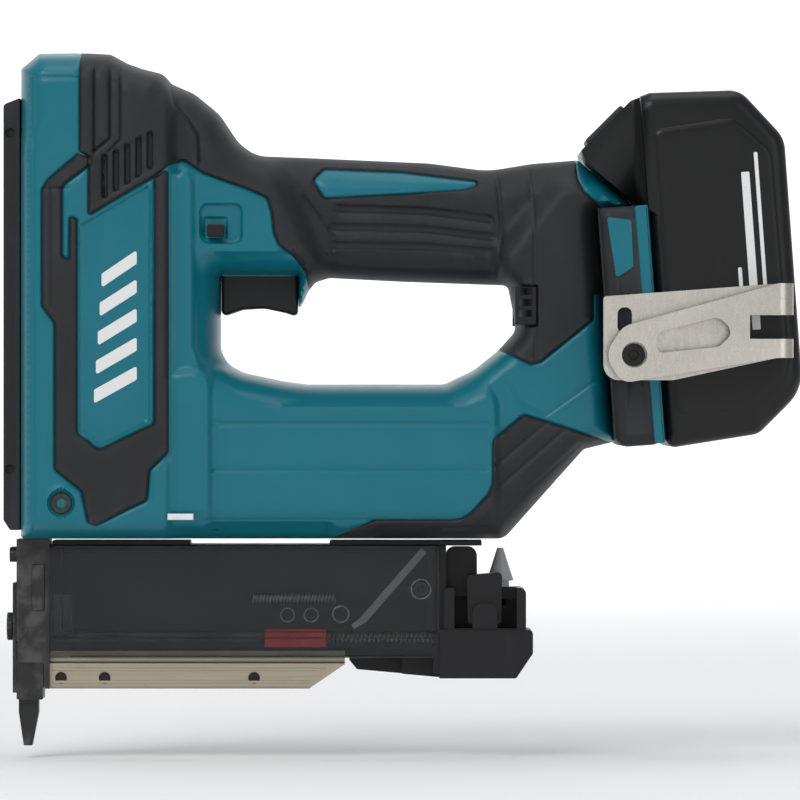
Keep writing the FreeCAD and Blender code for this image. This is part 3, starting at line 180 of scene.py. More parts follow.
class Finish:
    """One material and the few calls that build it."""

    def __init__(self, name):
        self.material = bpy.data.materials.new(name)
        self.material.use_nodes = True
        self.tree = self.material.node_tree
        self.shader = self.tree.nodes["Principled BSDF"]
        self.place = self.node("ShaderNodeTexCoord", {}, {}).outputs["Object"]

    def node(self, kind, settings, sockets):
        """Any node: its settings first, then the values or links of its sockets."""
        node = self.tree.nodes.new(kind)
        for key, value in settings.items():
            setattr(node, key, value)
        for key, value in sockets.items():
            self.feed(node.inputs[key], value)
        return node

    def feed(self, socket, value):
        if isinstance(value, Value):
            value = value.socket
        if isinstance(value, bpy.types.NodeSocket):
            self.tree.links.new(value, socket)
        elif hasattr(socket.default_value, "__len__") and len(value) == 3 and len(socket.default_value) == 4:
            socket.default_value = (*value, 1.0)
        else:
            socket.default_value = value

    def number(self, kind, settings, sockets, output=0):
        return Value(self, self.node(kind, settings, sockets).outputs[output])

    def noise(self, scale, detail=3.0, stretch=(1, 1, 1), roughness=0.5):
        """Noise with features about 1 / scale metres long, longer where stretch is small."""
        place = self.node("ShaderNodeMapping", {}, {"Vector": self.place, "Scale": stretch}).outputs[0]
        return self.number("ShaderNodeTexNoise", {},
                           {"Vector": place, "Scale": scale, "Detail": detail, "Roughness": roughness})

    def cells(self, scale):
        """Rounded cells about 1 / scale metres across."""
        return self.number("ShaderNodeTexVoronoi", {"feature": "F1"}, {"Vector": self.place, "Scale": scale})

    def mix(self, factor, first, second):
        node = self.node("ShaderNodeMix", {"data_type": "RGBA"}, {0: factor, 6: first, 7: second})
        return node.outputs[2]

    def worn_edges(self, start=0.52, end=0.6):
        """1 along raised edges, from the mesh's own curvature."""
        return self.number("ShaderNodeNewGeometry", {}, {}, "Pointiness").step(start, end)

    def bump(self, height, distance):
        """Normal of a relief whose full height is a distance in metres."""
        sockets = {"Height": height, "Distance": distance, "Strength": 1.0}
        return self.node("ShaderNodeBump", {}, sockets).outputs[0]

    def finish(self, **sockets):
        for name, value in sockets.items():
            self.feed(self.shader.inputs[name.replace("_", " ")], value)
        return self.material


MATERIALS = {}


def shade(colour, factor):
    """A colour made darker or paler, kept within range."""
    return tuple(min(1.0, c * factor) for c in colour)


def moulded_plastic(name, colour, roughness, grain=2600, height=0.00004, coat=0.0, dust=0.06):
    """Hard moulding: fine spark grain, soft flow mottling, worn and slightly paler edges."""
    f = Finish(name)
    flow = f.noise(38, 4)
    fine = f.noise(grain, 2)
    specks = f.cells(grain * 0.55)
    smear = f.noise(160, 5, (1, 1, 0.35))
    edge = f.worn_edges() * 0.5
    base = f.mix(flow * 0.55, shade(colour, 0.86), shade(colour, 1.12))
    base = f.mix(edge * smear, base, shade(colour, 1.55))
    base = f.mix(smear.step(0.62, 0.9) * dust, base, (0.2, 0.2, 0.2))
    normal = f.bump(fine * 0.6 + specks * 0.5, height)
    rough = flow * 0.10 + smear * 0.12 + fine * 0.06 + (roughness - 0.13)
    return f.finish(Base_Color=base, Roughness=rough, Normal=normal, Coat_Weight=coat,
                    Coat_Roughness=0.25, Specular_IOR_Level=0.28)


def soft_rubber(name, colour):
    """Overmould: dense leathery grain, matte, greyer where hands and benches rub it."""
    f = Finish(name)
    grain = f.cells(1500)
    pores = f.noise(3200, 2)
    rub = f.noise(70, 5, (1, 1, 0.6))
    edge = f.worn_edges(0.515, 0.59)
    base = f.mix(rub.step(0.35, 0.75) * 0.5, shade(colour, 0.85), shade(colour, 1.35))
    base = f.mix(edge * rub, base, shade(colour, 2.3))
    normal = f.bump(grain * 0.8 + pores * 0.4, 0.00006)
    rough = rub * 0.16 + pores * 0.1 + 0.40
    return f.finish(Base_Color=base, Roughness=rough, Normal=normal, Sheen_Weight=0.04,
                    Sheen_Roughness=0.4, Specular_IOR_Level=0.28)


def bare_steel(name, colour, roughness, brush=(1, 1, 1), scratch=0.00001, metallic=1.0, rust=0.0):
    """Ground or plated steel: directional brushing, handling scratches, cloudy tone and rust where asked."""
    f = Finish(name)
    lines = f.noise(900, 4, brush, 0.65)
    cloud = f.noise(55, 4)
    scuff = f.noise(420, 3, (0.15, 1, 1)).step(0.64, 0.7)
    base = f.mix(cloud.step(0.3, 0.75), shade(colour, 0.9), shade(colour, 1.05))
    base = f.mix(lines.step(0.35, 0.7) * 0.2, base, shade(colour, 0.78))
    base = f.mix(cloud.step(0.68, 0.85) * rust, base, (0.16, 0.09, 0.05))
    rough = lines * 0.22 + cloud * 0.1 + scuff * 0.12 + (roughness - 0.18)
    normal = f.bump(lines + scuff * 0.5, scratch)
    return f.finish(Base_Color=base, Roughness=rough, Normal=normal, Metallic=metallic)


def black_oxide(name, colour):
    """Blackened steel, rubbed to bare metal along its edges."""
    f = Finish(name)
    cloud = f.noise(120, 5)
    lines = f.noise(1200, 3, (1, 1, 0.2))
    worn = f.worn_edges(0.54, 0.64) * cloud.step(0.42, 0.62)
    base = f.mix(cloud * 0.6, shade(colour, 0.75), shade(colour, 1.35))
    base = f.mix(worn * 0.45, base, (0.16, 0.155, 0.15))
    rough = cloud * 0.16 + lines * 0.1 + 0.28
    return f.finish(Base_Color=base, Roughness=rough, Normal=f.bump(cloud * 0.4 + lines * 0.6, 0.00001),
                    Metallic=worn * 0.4 + 0.25)


def anodised(name, colour):
    """Drawn aluminium, anodised: lines along its length and a fine satin etch."""
    f = Finish(name)
    drawn = f.noise(1500, 4, (0.02, 1, 1))
    etch = f.noise(3000, 2)
    cloud = f.noise(60, 3, (0.3, 1, 1))
    base = f.mix(cloud, shade(colour, 0.85), shade(colour, 1.15))
    base = f.mix(drawn.step(0.4, 0.7) * 0.3, base, shade(colour, 0.7))
    return f.finish(Base_Color=base, Roughness=drawn * 0.2 + etch * 0.08 + 0.2,
                    Normal=f.bump(drawn + etch * 0.4, 0.00001), Metallic=0.92)


def smoked_clear(name, colour):
    """Tinted clear moulding that shows what lies behind it."""
    f = Finish(name)
    haze = f.noise(80, 4)
    fine = f.noise(500, 4, (0.2, 1, 1))
    base = f.mix(haze, shade(colour, 0.8), shade(colour, 1.3))
    alpha = haze * 0.08 + fine.step(0.66, 0.74) * 0.08 + 0.30
    return f.finish(Base_Color=base, Roughness=fine * 0.12 + 0.08, Alpha=alpha,
                    Normal=f.bump(fine, 0.000008), Specular_IOR_Level=0.6)


def gloss_plastic(name, colour, roughness=0.22):
    f = Finish(name)
    flow = f.noise(130, 4)
    fine = f.noise(1600, 2)
    base = f.mix(flow, shade(colour, 0.8), shade(colour, 1.2))
    return f.finish(Base_Color=base, Roughness=flow * 0.1 + (roughness - 0.05),
                    Normal=f.bump(fine + flow * 2, 0.00001), Coat_Weight=0.3, Coat_Roughness=0.1)


def frosted_lens(name):
    f = Finish(name)
    ripple = f.cells(900)
    base = f.mix(f.noise(200), (0.62, 0.66, 0.68), (0.8, 0.83, 0.84))
    return f.finish(Base_Color=base, Roughness=ripple * 0.2 + 0.2, Normal=f.bump(ripple, 0.00004))


def painted_mark(name, colour):
    """Pad-printed ink, a little broken where it has rubbed."""
    f = Finish(name)
    rub = f.noise(900, 5)
    base = f.mix(rub.step(0.62, 0.72) * 0.5, colour, shade(colour, 0.75))
    return f.finish(Base_Color=base, Roughness=rub * 0.2 + 0.35, Normal=f.bump(rub, 0.000008))


def mix_materials():
    shell, metal = bpy.context.scene.nailer_shell, bpy.context.scene.nailer_metal
    MATERIALS.update({
        "shell": moulded_plastic("shell_plastic", tuple(shell.shell_colour), 0.33, coat=0.12, dust=0.03),
        "soft_grip": soft_rubber("soft_grip_rubber", tuple(shell.grip_colour)),
        "black_plastic": moulded_plastic("black_moulding", (0.009, 0.009, 0.010), 0.42, grain=5200,
                                         height=0.0000025),
        "battery_plastic": moulded_plastic("battery_moulding", (0.0048, 0.0050, 0.0056), 0.36,
                                           height=0.000015, coat=0.1),
        "battery_button": moulded_plastic("button_moulding", (0.05, 0.05, 0.055), 0.45),
        "cells": gloss_plastic("cell_sleeve", (0.05, 0.12, 0.2)),
        "boards": gloss_plastic("board_lacquer", (0.01, 0.09, 0.04)),
        "steel": bare_steel("spring_and_gear_steel", (0.5, 0.49, 0.47), 0.33, rust=0.1),
        "black_steel": black_oxide("black_oxide_steel", (0.018, 0.018, 0.019)),
        "hook_steel": bare_steel("hook_plating", tuple(metal.hook_colour), 0.3, (1, 0.3, 0.3), 0.000006),
        "anodised": anodised("rail_anodising", (0.43, 0.375, 0.29)),
        "smoked": smoked_clear("smoked_cover", (0.009, 0.0105, 0.0125)),
        "red": gloss_plastic("pusher_plastic", (0.78, 0.018, 0.045)),
        "lens": frosted_lens("light_lens"),
        "grey_plastic": gloss_plastic("adapter_plastic", (0.33, 0.34, 0.35), 0.35),
        # paler copy of the smoked cover material: a painted highlight on the cover's ribs and rings, where the
        # clear moulding catches the light
        "smoked_highlight": smoked_clear("smoked_painted_highlight", (0.16, 0.17, 0.18)),
        "mark": painted_mark("mark_ink", (0.72, 0.73, 0.73)),
    })


# ------------------------------------------------------------------ mesh helpers
def add_object(name, verts, faces, material, smooth=40):
    """New object from row-frame millimetres, its normals turned out and its sharp edges kept."""
    mesh = bpy.data.meshes.new(name)
    mesh.from_pydata([tuple(float(c) * MM for c in v) for v in verts], [], faces)
    obj = bpy.data.objects.new(name, mesh)
    bpy.context.scene.collection.objects.link(obj)
    return dressed(obj, material, smooth, recalculate=True)


def dressed(obj, material, smooth=40, recalculate=False):
    """Welds if asked, turns normals out, shades smooth between sharp edges and gives the finish."""
    bm = bmesh.new()
    bm.from_mesh(obj.data)
    if recalculate:
        bmesh.ops.remove_doubles(bm, verts=bm.verts, dist=WELD)
        bmesh.ops.dissolve_degenerate(bm, edges=bm.edges, dist=WELD)
        bmesh.ops.recalc_face_normals(bm, faces=bm.faces)
    bm.to_mesh(obj.data)
    bm.free()
    obj.data.materials.clear()
    obj.data.materials.append(MATERIALS[material])
    obj.data.shade_smooth()
    obj.data.set_sharp_from_angle(angle=math.radians(smooth))
    return obj


def flattened(obj):
    """Lets large flat faces keep their own normals, so that only the rounded edges shade round."""
    modifier = obj.modifiers.new("normals", "WEIGHTED_NORMAL")
    modifier.keep_sharp = True
    depsgraph = bpy.context.evaluated_depsgraph_get()
    mesh = bpy.data.meshes.new_from_object(obj.evaluated_get(depsgraph))
    obj.modifiers.clear()
    obj.data = mesh
    return obj


def body_of(node):
    """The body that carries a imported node."""
    return next(b for b, nodes in frame["record"]["behaviour"]["bodies"].items() if node in nodes)


def settle(obj, node):
    """The piece rides with the node's body and stands for the node."""
    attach(obj, body_of(node))
    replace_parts(obj, node)


def finish_nodes(slot, nodes):
    """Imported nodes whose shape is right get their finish."""
    for node in nodes:
        obj = frame["nodes"][node]
        obj.data.materials.clear()
        obj.data.materials.append(MATERIALS[slot])


def softened(node, slot, width, angle=32):
    """A copy of a node with its edges broken, standing for it."""
    source = frame["nodes"][node]
    mesh = source.data.copy()
    mesh.name = node + "_body"
    obj = bpy.data.objects.new(node + "_piece", mesh)
    bpy.context.scene.collection.objects.link(obj)
    bm = bmesh.new()
    bm.from_mesh(mesh)
    bmesh.ops.remove_doubles(bm, verts=bm.verts, dist=NODE_WELD)
    bmesh.ops.dissolve_limit(bm, angle_limit=math.radians(1.0), verts=bm.verts, edges=bm.edges)
    bm.normal_update()
    sharp = [e for e in bm.edges if len(e.link_faces) == 2
             and e.calc_face_angle(0) > math.radians(angle) and e.calc_length() > width * MM * 0.8]
    bmesh.ops.bevel(bm, geom=sharp, offset=width * MM, segments=2, profile=0.6, affect="EDGES",
                    clamp_overlap=True)
    bm.to_mesh(mesh)
    bm.free()
    flattened(dressed(obj, slot, 34))
    settle(obj, node)
    return obj


# ------------------------------------------------------------------ outlines
def rounded(corners, step=1.6):
    """Points along an outline through (x, z, radius) corners, about step apart."""
    count = len(corners)
    points = []
    for i, corner in enumerate(corners):
        here = np.array(corner[:2], float)
        radius = corner[2] if len(corner) > 2 else 0.0
        if radius <= 0:
            points.append(here)
            continue
        before = np.array(corners[i - 1][:2], float) - here
        after = np.array(corners[(i + 1) % count][:2], float) - here
        size_before, size_after = np.linalg.norm(before), np.linalg.norm(after)
        before, after = before / size_before, after / size_after
        half = math.acos(max(-1, min(1, before @ after))) / 2
        run = min(radius / math.tan(half), 0.49 * size_before, 0.49 * size_after)
        radius = run * math.tan(half)
        turn = math.pi - 2 * half
        pieces = max(2, int(math.ceil(turn * radius / min(step, 0.9))) + 1)
        centre = here + (before + after) / np.linalg.norm(before + after) * radius / math.sin(half)
        first = here + before * run - centre
        side = 1 if np.cross(first, here + after * run - centre) > 0 else -1
        for k in range(pieces + 1):
            a = side * turn * k / pieces
            points.append(centre + np.array((first[0] * math.cos(a) - first[1] * math.sin(a),
                                             first[0] * math.sin(a) + first[1] * math.cos(a))))
    return resampled(np.array(points), step)


def resampled(points, step, closed=True):
    """The same outline with its long runs divided."""
    out = []
    last = len(points) if closed else len(points) - 1
    for i in range(last):
        a, b = points[i], points[(i + 1) % len(points)]
        length = np.linalg.norm(b - a)
        if length < 1e-4:
            continue
        pieces = max(1, int(round(length / step)))
        out += [a + (b - a) * k / pieces for k in range(pieces)]
    if not closed:
        out.append(points[-1])
    return np.array(out)


def distance(points, line, closed=True, reach=7.0):
    """Distance of each point from an outline; beyond its reach the answer is just large."""
    found = np.full(len(points), 99.0)
    near = np.all((points > line.min(axis=0) - reach) & (points < line.max(axis=0) + reach), axis=1)
    close = points[near]
    best = np.full(len(close), 99.0)
    ends = np.roll(line, -1, axis=0) if closed else line[1:]
    starts = line if closed else line[:-1]
    for a, b in zip(starts, ends):
        run = b - a
        gap = close - a
        t = np.clip((gap @ run) / max(run @ run, 1e-12), 0, 1)
        gap = gap - t[:, None] * run
        best = np.minimum(best, gap[:, 0] ** 2 + gap[:, 1] ** 2)
    found[near] = np.sqrt(best)
    return found


def inside(points, line):
    """True for each point inside a closed outline."""
    found = np.zeros(len(points), bool)
    near = np.all((points >= line.min(axis=0)) & (points <= line.max(axis=0)), axis=1)
    x, z = points[near, 0], points[near, 1]
    odd = np.zeros(len(x), bool)
    for (x0, z0), (x1, z1) in zip(line, np.roll(line, -1, axis=0)):
        if z0 != z1:
            odd ^= ((z0 > z) != (z1 > z)) & (x < (x1 - x0) * (z - z0) / (z1 - z0) + x0)
    found[near] = odd
    return found


def depth_in(points, line):
    """Signed distance: positive inside the outline."""
    return np.where(inside(points, line), 1.0, -1.0) * distance(points, line)


def square_to(line):
    """Unit vectors square to a closed outline, to its left as it runs."""
    ahead = np.roll(line, -1, axis=0) - np.roll(line, 1, axis=0)
    size = np.maximum(np.linalg.norm(ahead, axis=1), 1e-6)
    return np.stack((-ahead[:, 1], ahead[:, 0]), 1) / size[:, None]


def ease(t):
    """Smooth rise from 0 to 1."""
    t = np.clip(t, 0, 1)
    return t * t * (3 - 2 * t)


# ------------------------------------------------------------------ the housing's lines
BODY = [(FRONT, UNDER, 1.5), (FRONT, 217.4, 1.6), (4.0, 222.5, 1.6), (18, TOP, 0), (27, 222.2, 4),
        (32.5, 219.2, 8), (37, 217.6, 8), (43.7, 215.9, 4), (46.4, 212.8, 3), (53.8, 209.6, 12),
        (61.8, 203.0, 16), (67.8, 193.9, 14), (73.5, 189.7, 14), (88, 189.2, 20), (129, 187.4, 40),
        (148, 184.9, 30), (162, 187.2, 10), bay(-19.8, 18.9, 1), bay(-17.9, 17.0, 0.6), bay(-3.5, 3.1, 0.4),
        bay(-4.4, 0.6, 0), bay(-14.6, 0.2, 0), bay(-14.6, -72.4, 0), (178.9, 95.3, 3), (153.2, UNDER, 5)]
HAND_HOLE = [(62.2, 150.9, 0.5), (62.1, 127.0, 7), (64.6, 122.6, 7), (69.5, 119.9, 12), (82.4, 117.2, 24),
             (90, 116.2, 6), (134, 116.2, 6), (143.4, 120.7, 14), (151.3, 127, 12), (157, 133.3, 4),
             (156.1, 139.7, 4), (154.4, 148, 2), (120.5, 149.2, 30), (97, 150.4, 5), (92.5, 149, 3),
             (90.2, 146, 2), (88.6, 142.4, 1), (87.2, 140.2, 0.5), (87.0, 150.8, 0.3)]
HEAD_GRIP = [(18, 240), (18, 190, 0.4), (20.8, 188.4, 0.8), (20.8, 169.6, 0.6), (41.7, 181.8, 1),
             (46.3, 185.6, 2), (50.6, 187.6, 3), (54.3, 185.0, 2), (57.4, 183.1, 2), (71.4, 178.1, 3),
             (77.4, 175.4, 2),
             (78.8, 170.8, 2), (79.5, 164.4, 2), (81, 160.6, 2), (86.1, 156.4, 2), (89.5, 151.7, 2),
             (90.5, 147.0, 1), (93, 144, 0), (110, 144, 0), (148, 140, 0), (150.5, 127.4, 0),
             (154.5, 125.6, 2), (161.5, 122.4, 2), (164.6, 123.2, 1), (181.6, 136.8, 1), (181.6, 144.8, 0.6),
             (184.5, 145.4, 0), (189, 150, 0), (184, 172.6, 0), (178.6, 177.4, 2), (176.6, 181.9, 2),
             (176.0, 190, 0), (160, 200, 0), (90, 240, 0)]
HANDLE_INLAY = [(92, 181.5, 1.6), (95.5, 184.9, 1.5), (120, 183.9, 20), (147.2, 180.6, 0.8), (140, 178.4, 2),
                (122, 177.0, 10), (95.6, 175.6, 1.6)]
WING_GRIP = [(6.0, 177.8, 1), (8, 181.2, 1), (17.6, 189.4, 0.6), (21.6, 188.2, 0.4), (21.6, 185.8, 0.3),
             (14.0, 180.2, 0.6), (12.6, 178.4, 0.6), (12.6, 157.0, 0.8), (14.6, 155.6, 0.4),
             (14.8, 169.4, 0.6), (17.4, 168.6, 0.4), (17.4, 100.8, 1), (24.3, 95.4, 1.5),
             (41.6, 103.6, 1.5), (41.7, 181.8, 1),
             (46.3, 185.0, 1), (46.4, 94.5, 2), (40.4, 88.9, 2), (39.6, 79.2, 2), (33, 76.2, 2),
             (23, 70.9, 1.5), (20.6, 72, 1.2), (18.6, 82, 2), (10, 89, 1.5), (10, 135.5, 1.2), (6.0, 141, 1)]
REAR_GUARD = [(97.6, 60, 0), (98.8, 67.4, 1), (111.6, 73, 2), (140.2, 73, 9), (149.2, 82.5, 9),
              (149.3, 98.4, 3), (159.2, 106.6, 2), (170, 103.3, 3), (192, 96, 0), (192, 60, 0)]
BRAND_PANEL = [(17.6, 166.8, 1), (40.8, 180.2, 1), (40.8, 104.2, 1), (24.4, 96.2, 1.5), (17.6, 100.6, 1)]
LOCK_RECESS = [(56.2, 161.2, 2.4), (56.2, 173.6, 2.4), (69.4, 173.6, 2.4), (69.4, 161.2, 2.4)]
LOCK_WINDOW = [(57.2, 162.4, 0.6), (57.2, 169.3, 0.6), (64.6, 169.3, 0.6), (64.6, 162.4, 0.6)]
PILLAR = [(46.9, 60), (46.9, 182, 3), (50.8, 187.4, 4), (54.9, 182, 3), (55.2, 128, 2), (60.5, 119, 6),
          (60.5, 60)]
GRIP_PANEL = [(97, 174.5, 3), (146.5, 172.5, 3), (152.0, 168.5, 3), (150.8, 152.5, 4), (101, 154.0, 4),
              (95.5, 160, 3)]
HANDLE_GROOVES = [[(100, 172.4), (128, 171.6), (148.6, 168.9)], [(98.2, 166.6), (128, 165.8), (149.2, 163.2)],
                  [(98.6, 160.6), (128, 160.2), (148.6, 158.4)]]
VENT_SEAT = [(155.9, 134.7, 0.5), (155.9, 147.7, 0.5), (163.7, 147.7, 0.5), (163.7, 134.7, 0.5)]
VENT_BAND = [(24.4, 188.0, 1), (42.6, 197.4, 1.5), (42.6, 184.9, 1), (24.4, 173.4, 1)]
VENTS = [[(x, 174.9 + (x - 24.4) * 0.63), (x, 187.6 + (x - 24.4) * 0.5)]
         for x in (26.0, 29.6, 33.2, 36.8, 40.4)]
CREASES = [  # line, depth, width
    ([(FRONT + 1, 213.7), (18, 213.7)], 0.5, 0.5), ([(3.4, 214), (3.4, 70)], 0.55, 0.6),
    ([(22.6, 215.4), (22.6, 190.2)], 0.9, 0.5), ([(27.6, 216), (27.6, 194.2), (22.6, 190.2)], 0.9, 0.5),
    ([(31.0, 216), (31.0, 194), (27, 189.8)], 0.7, 0.5),
    ([(46, 212.4), (48, 205.2), (52.7, 199.8), (55.4, 195.2), (55.7, 186.6)], 0.8, 0.5),
    ([(62.2, 103.6), (147.5, 103.6)], 0.6, 0.7), ([(60.5, 88.8), (147.9, 88.8)], 0.45, 0.6),
    ([(57, 73), (111, 73)], 0.5, 0.5), ([(89, 176.5), (98.6, 163.5)], 0.45, 0.5),
    ([(150.6, 184.6), (152.2, 168), (151, 150)], 0.8, 0.8),
    ([(160.6, 186), (162.4, 172), (163, 124)], 0.5, 0.7),
    ([(153.6, 118), (158, 110.4), (165, 106.6)], 0.5, 0.6), ([(166, 106), (181.6, 117)], 0.35, 0.6),
    ([(112, 70), (150, 70.6), (160, 82), (177, 97)], 0.6, 0.7), ([(150, 90), (166, 103.5)], 0.6, 0.7),
    ([(152, 84), (172, 101.5)], 0.6, 0.7),
    ([(8.9, 179), (8.9, 141)], 0.35, 0.4), ([(6.4, 178.4), (14.2, 178.6)], 0.4, 0.4)]


COLUMN_SCREW = (12.2, 78.4)
FAR_SCREWS = [(48.0, TOP - 23), (102.0, 181.2), (150.0, 173.2), (164.0, UNDER + 21)]


def zone(points, corners, width):
    """1 inside a zone, easing to 0 across its border over width."""
    return ease(depth_in(points, rounded(corners)) / width + 0.5)


def housing_height(points, depth):
    """Distance of the moulded surface from the middle plane, at points in X and Z."""
    x, z = points[:, 0], points[:, 1]
    column = ease((47.0 - x) / 5 + 0.5)
    head = column * ease((z - 188) / 14)
    tube = zone(points, [(40, 40), (40, 118.5, 2), (62, 122, 4), (84, 117.2, 8), (150.5, 117.2, 9),
                         (150.5, 70, 9), (112, 70.2, 2), (112, 40)], 3.4)
    shoulder = zone(points, [(40, 110), (40, 230), (58, 230), (74, 200, 6), (96, 150, 4), (92, 140),
                             (87, 135)], 9)
    link = zone(points, [(128, 40), (132, 119, 4), (150, 132, 6), (152, 158, 4), (170, 180, 5), (215, 190),
                         (215, 40)], 9)
    half = np.full(len(points), 17.4)
    for weight, value in ((link, 22.8), (shoulder, 23.4), (tube, 25.6), (column, COLUMN_HALF - 0.7)):
        half = half + (value - half) * weight
    radius = np.full(len(points), 15.5)
    for weight, value in ((link, 8.0), (shoulder, 12.0), (tube, 12.5), (column, 6.5), (head, 10.0)):
        radius = radius + (value - radius) * weight
    pillar = depth_in(points, rounded(PILLAR))
    half = half + 2.6 * ease(pillar / 2.2) * (1 - column * 0.8) * (z > 70)
    edge = np.clip(depth / radius, 0, 1)
    height = half * (1 - (1 - edge) ** 2.35) ** (1 / 2.35)
    flange = ease((72.4 - z) / 0.8) * ease((x - 57) / 4) * ease((99 - x) / 2)
    height = height * (1 - 0.16 * flange)
    shell = bpy.context.scene.nailer_shell
    for outline in (HEAD_GRIP, WING_GRIP, REAR_GUARD):
        line = rounded(outline)
        inner = depth_in(points, line)
        if outline is HEAD_GRIP:
            inner = np.minimum(inner, -depth_in(points, rounded(HANDLE_INLAY)))
        height += shell.grip_rise * ease(inner / 0.9) * ease(depth / 3)
        height -= shell.seam_depth * np.exp(-(inner / 0.42) ** 2) * ease(depth / 1.5)
    height -= 1.0 * ease(depth_in(points, rounded(BRAND_PANEL)) / 0.9)
    height -= 1.5 * ease(depth_in(points, rounded(LOCK_RECESS)) / 0.8 + 0.3)
    height -= 0.35 * ease(depth_in(points, rounded(GRIP_PANEL)) / 1.2)
    height -= 1.9 * ease(depth_in(points, rounded(VENT_SEAT)) / 0.4 + 0.5)
    height -= 0.4 * ease(depth_in(points, rounded(VENT_BAND)) / 0.6)
    for line in VENTS:
        height -= 1.7 * ease((1.05 - distance(points, np.array(line), False)) / 0.6)
    for line, sink, width in CREASES:
        gap = distance(points, np.array(line, float), False)
        height -= sink * np.exp(-(gap / width) ** 2) * ease(depth / 2)
    for line in HANDLE_GROOVES:
        height -= 1.15 * ease(1.6 - distance(points, np.array(line, float), False)) * ease(depth / 3)
    trigger = (x > 61.5) & (x < 87.4) & (z > 140) & (z < 153)
    cheeks = 8.0 * ease((87.3 - x) / 0.8) * ease((x - 61.8) / 0.8)
    return np.where(trigger, np.maximum(height, cheeks), height)


def housing_points(step):
    """Points and constraint edges from which the housing's surface is triangulated, and its depth test."""
    borders = [rounded(BODY), rounded(HAND_HOLE)]
    points, edges = [], []
    for line in borders:
        start = len(points)
        points += list(line)
        edges += [(start + k, start + (k + 1) % len(line)) for k in range(len(line))]

    def room(p):
        """Depth inside the housing's outline and outside its hand hole."""
        return np.minimum(depth_in(p, borders[0]), -depth_in(p, borders[1]))

    for line in [rounded(o, 1.2) for o in (HEAD_GRIP, WING_GRIP, REAR_GUARD, HANDLE_INLAY)]:
        keep = room(line) > 0.25
        index = {}
        for k in np.nonzero(keep)[0]:
            index[k] = len(points)
            points.append(line[k])
        edges += [(index[k], index[(k + 1) % len(line)]) for k in index if (k + 1) % len(line) in index]
    for line, _, width in CREASES:
        for stripe in stripes(np.array(line, float), (-0.9 * width, 0, 0.9 * width)):
            keep = room(stripe) > 0.4
            start = len(points)
            points += list(stripe)
            edges += [(start + k, start + k + 1) for k in range(len(stripe) - 1) if keep[k] and keep[k + 1]]
    extra = []
    for line in borders:
        side = square_to(line)
        for gap in (0.12, 0.4, 0.9, 1.7, 2.8, 4.2):
            for sign in (1, -1):
                ring = line + side * gap * sign
                extra.append(ring[np.abs(room(ring) - gap) < 0.12 * gap])
    lines = [rounded(o, 1.0) for o in (HEAD_GRIP, WING_GRIP, REAR_GUARD, HANDLE_INLAY, BRAND_PANEL,
                                       LOCK_RECESS, LOCK_WINDOW, GRIP_PANEL, VENT_BAND, VENT_SEAT)]
    for line in lines:
        extra += [line + square_to(line) * gap for gap in (-0.85, -0.4, 0.4, 0.85)]
    for line, _, width in CREASES:
        extra += stripes(np.array(line, float), (-1.5 * width, -0.6 * width, 0, 0.6 * width, 1.5 * width))
    for line in HANDLE_GROOVES + VENTS:
        extra += stripes(np.array(line, float), (-1.7, -1.1, -0.5, 0, 0.5, 1.1, 1.7))
    for cx, cz in [COLUMN_SCREW] + FAR_SCREWS:
        for r in (2.0, 3.7, 4.1, 4.5, 5.2, 6.2):
            turn = np.linspace(0, 2 * math.pi, int(8 + 4 * r), endpoint=False)
            extra.append(np.stack((cx + r * np.cos(turn), cz + r * np.sin(turn)), 1))
    extra = np.concatenate(extra)
    extra = thinned(extra[room(extra) > 0.1], 0.27)
    xs = np.arange(FRONT, 198, step)
    zs = np.arange(UNDER, TOP, step)
    grid = np.stack(np.meshgrid(xs, zs), -1).reshape(-1, 2)
    grid[:, 0] += (np.round((grid[:, 1] - UNDER) / step) % 2) * step / 2
    grid = grid[room(grid) > 0.8]
    near = nearest(grid, extra, step * 0.62)
    return np.concatenate((np.array(points), extra, grid[~near])), edges, room


def stripes(line, gaps):
    """Copies of an open line, each set off by one of the gaps."""
    dense = resampled(line, 1.0, False)
    ahead = np.gradient(dense, axis=0)
    side = np.stack((-ahead[:, 1], ahead[:, 0]), 1) / np.linalg.norm(ahead, axis=1)[:, None]
    return [dense + side * gap for gap in gaps]


def thinned(points, gap):
    """Points with near-duplicates dropped, on a grid of that size."""
    cells = np.round(points / gap).astype(int)
    _, first = np.unique(cells, axis=0, return_index=True)
    return points[np.sort(first)]


def nearest(points, others, gap):
    """True for each point that has one of the others within a gap."""
    taken = set(map(tuple, np.round(others / gap).astype(int)))
    cells = np.round(points / gap).astype(int)
    near = np.zeros(len(points), bool)
    for dx in (-1, 0, 1):
        for dz in (-1, 0, 1):
            near |= np.array([(a + dx, b + dz) in taken for a, b in cells])
    return near


def relief(name, flat, triangles, outer, inner, side, material):
    """Closed moulding between two height fields over the same flat triangles."""
    used = sorted({i for t in triangles for i in t})
    order = {i: k for k, i in enumerate(used)}
    count = len(used)
    verts = [(flat[i][0], side * outer[i], flat[i][1]) for i in used]
    verts += [(flat[i][0], side * inner[i], flat[i][1]) for i in used]
    faces = [tuple(order[i] for i in t) for t in triangles]
    faces += [tuple(order[i] + count for i in reversed(t)) for t in triangles]
    border = {}
    for t in triangles:
        for a, b in ((t[0], t[1]), (t[1], t[2]), (t[2], t[0])):
            border[(a, b)] = border.get((a, b), 0) + 1
    for (a, b) in border:
        if (b, a) not in border:
            faces.append((order[b], order[a], order[a] + count, order[b] + count))
    return add_object(name, verts, faces, material, 48)


def one_sided(points, depth, height, near):
    """What only one half has: the lock button's window, or the wells of the case screws."""
    height = height.copy()
    if near:
        height -= 0.9 * ease(depth_in(points, rounded(LOCK_WINDOW)) / 0.4)
    for x, z in [COLUMN_SCREW] + ([] if near else FAR_SCREWS):
        away = np.hypot(points[:, 0] - x, points[:, 1] - z)
        height += 0.5 * ease((6.2 - away) / 1.2) * ease(depth / 3)
        height -= 1.6 * ease((4.4 - away) / 0.5)
    return height


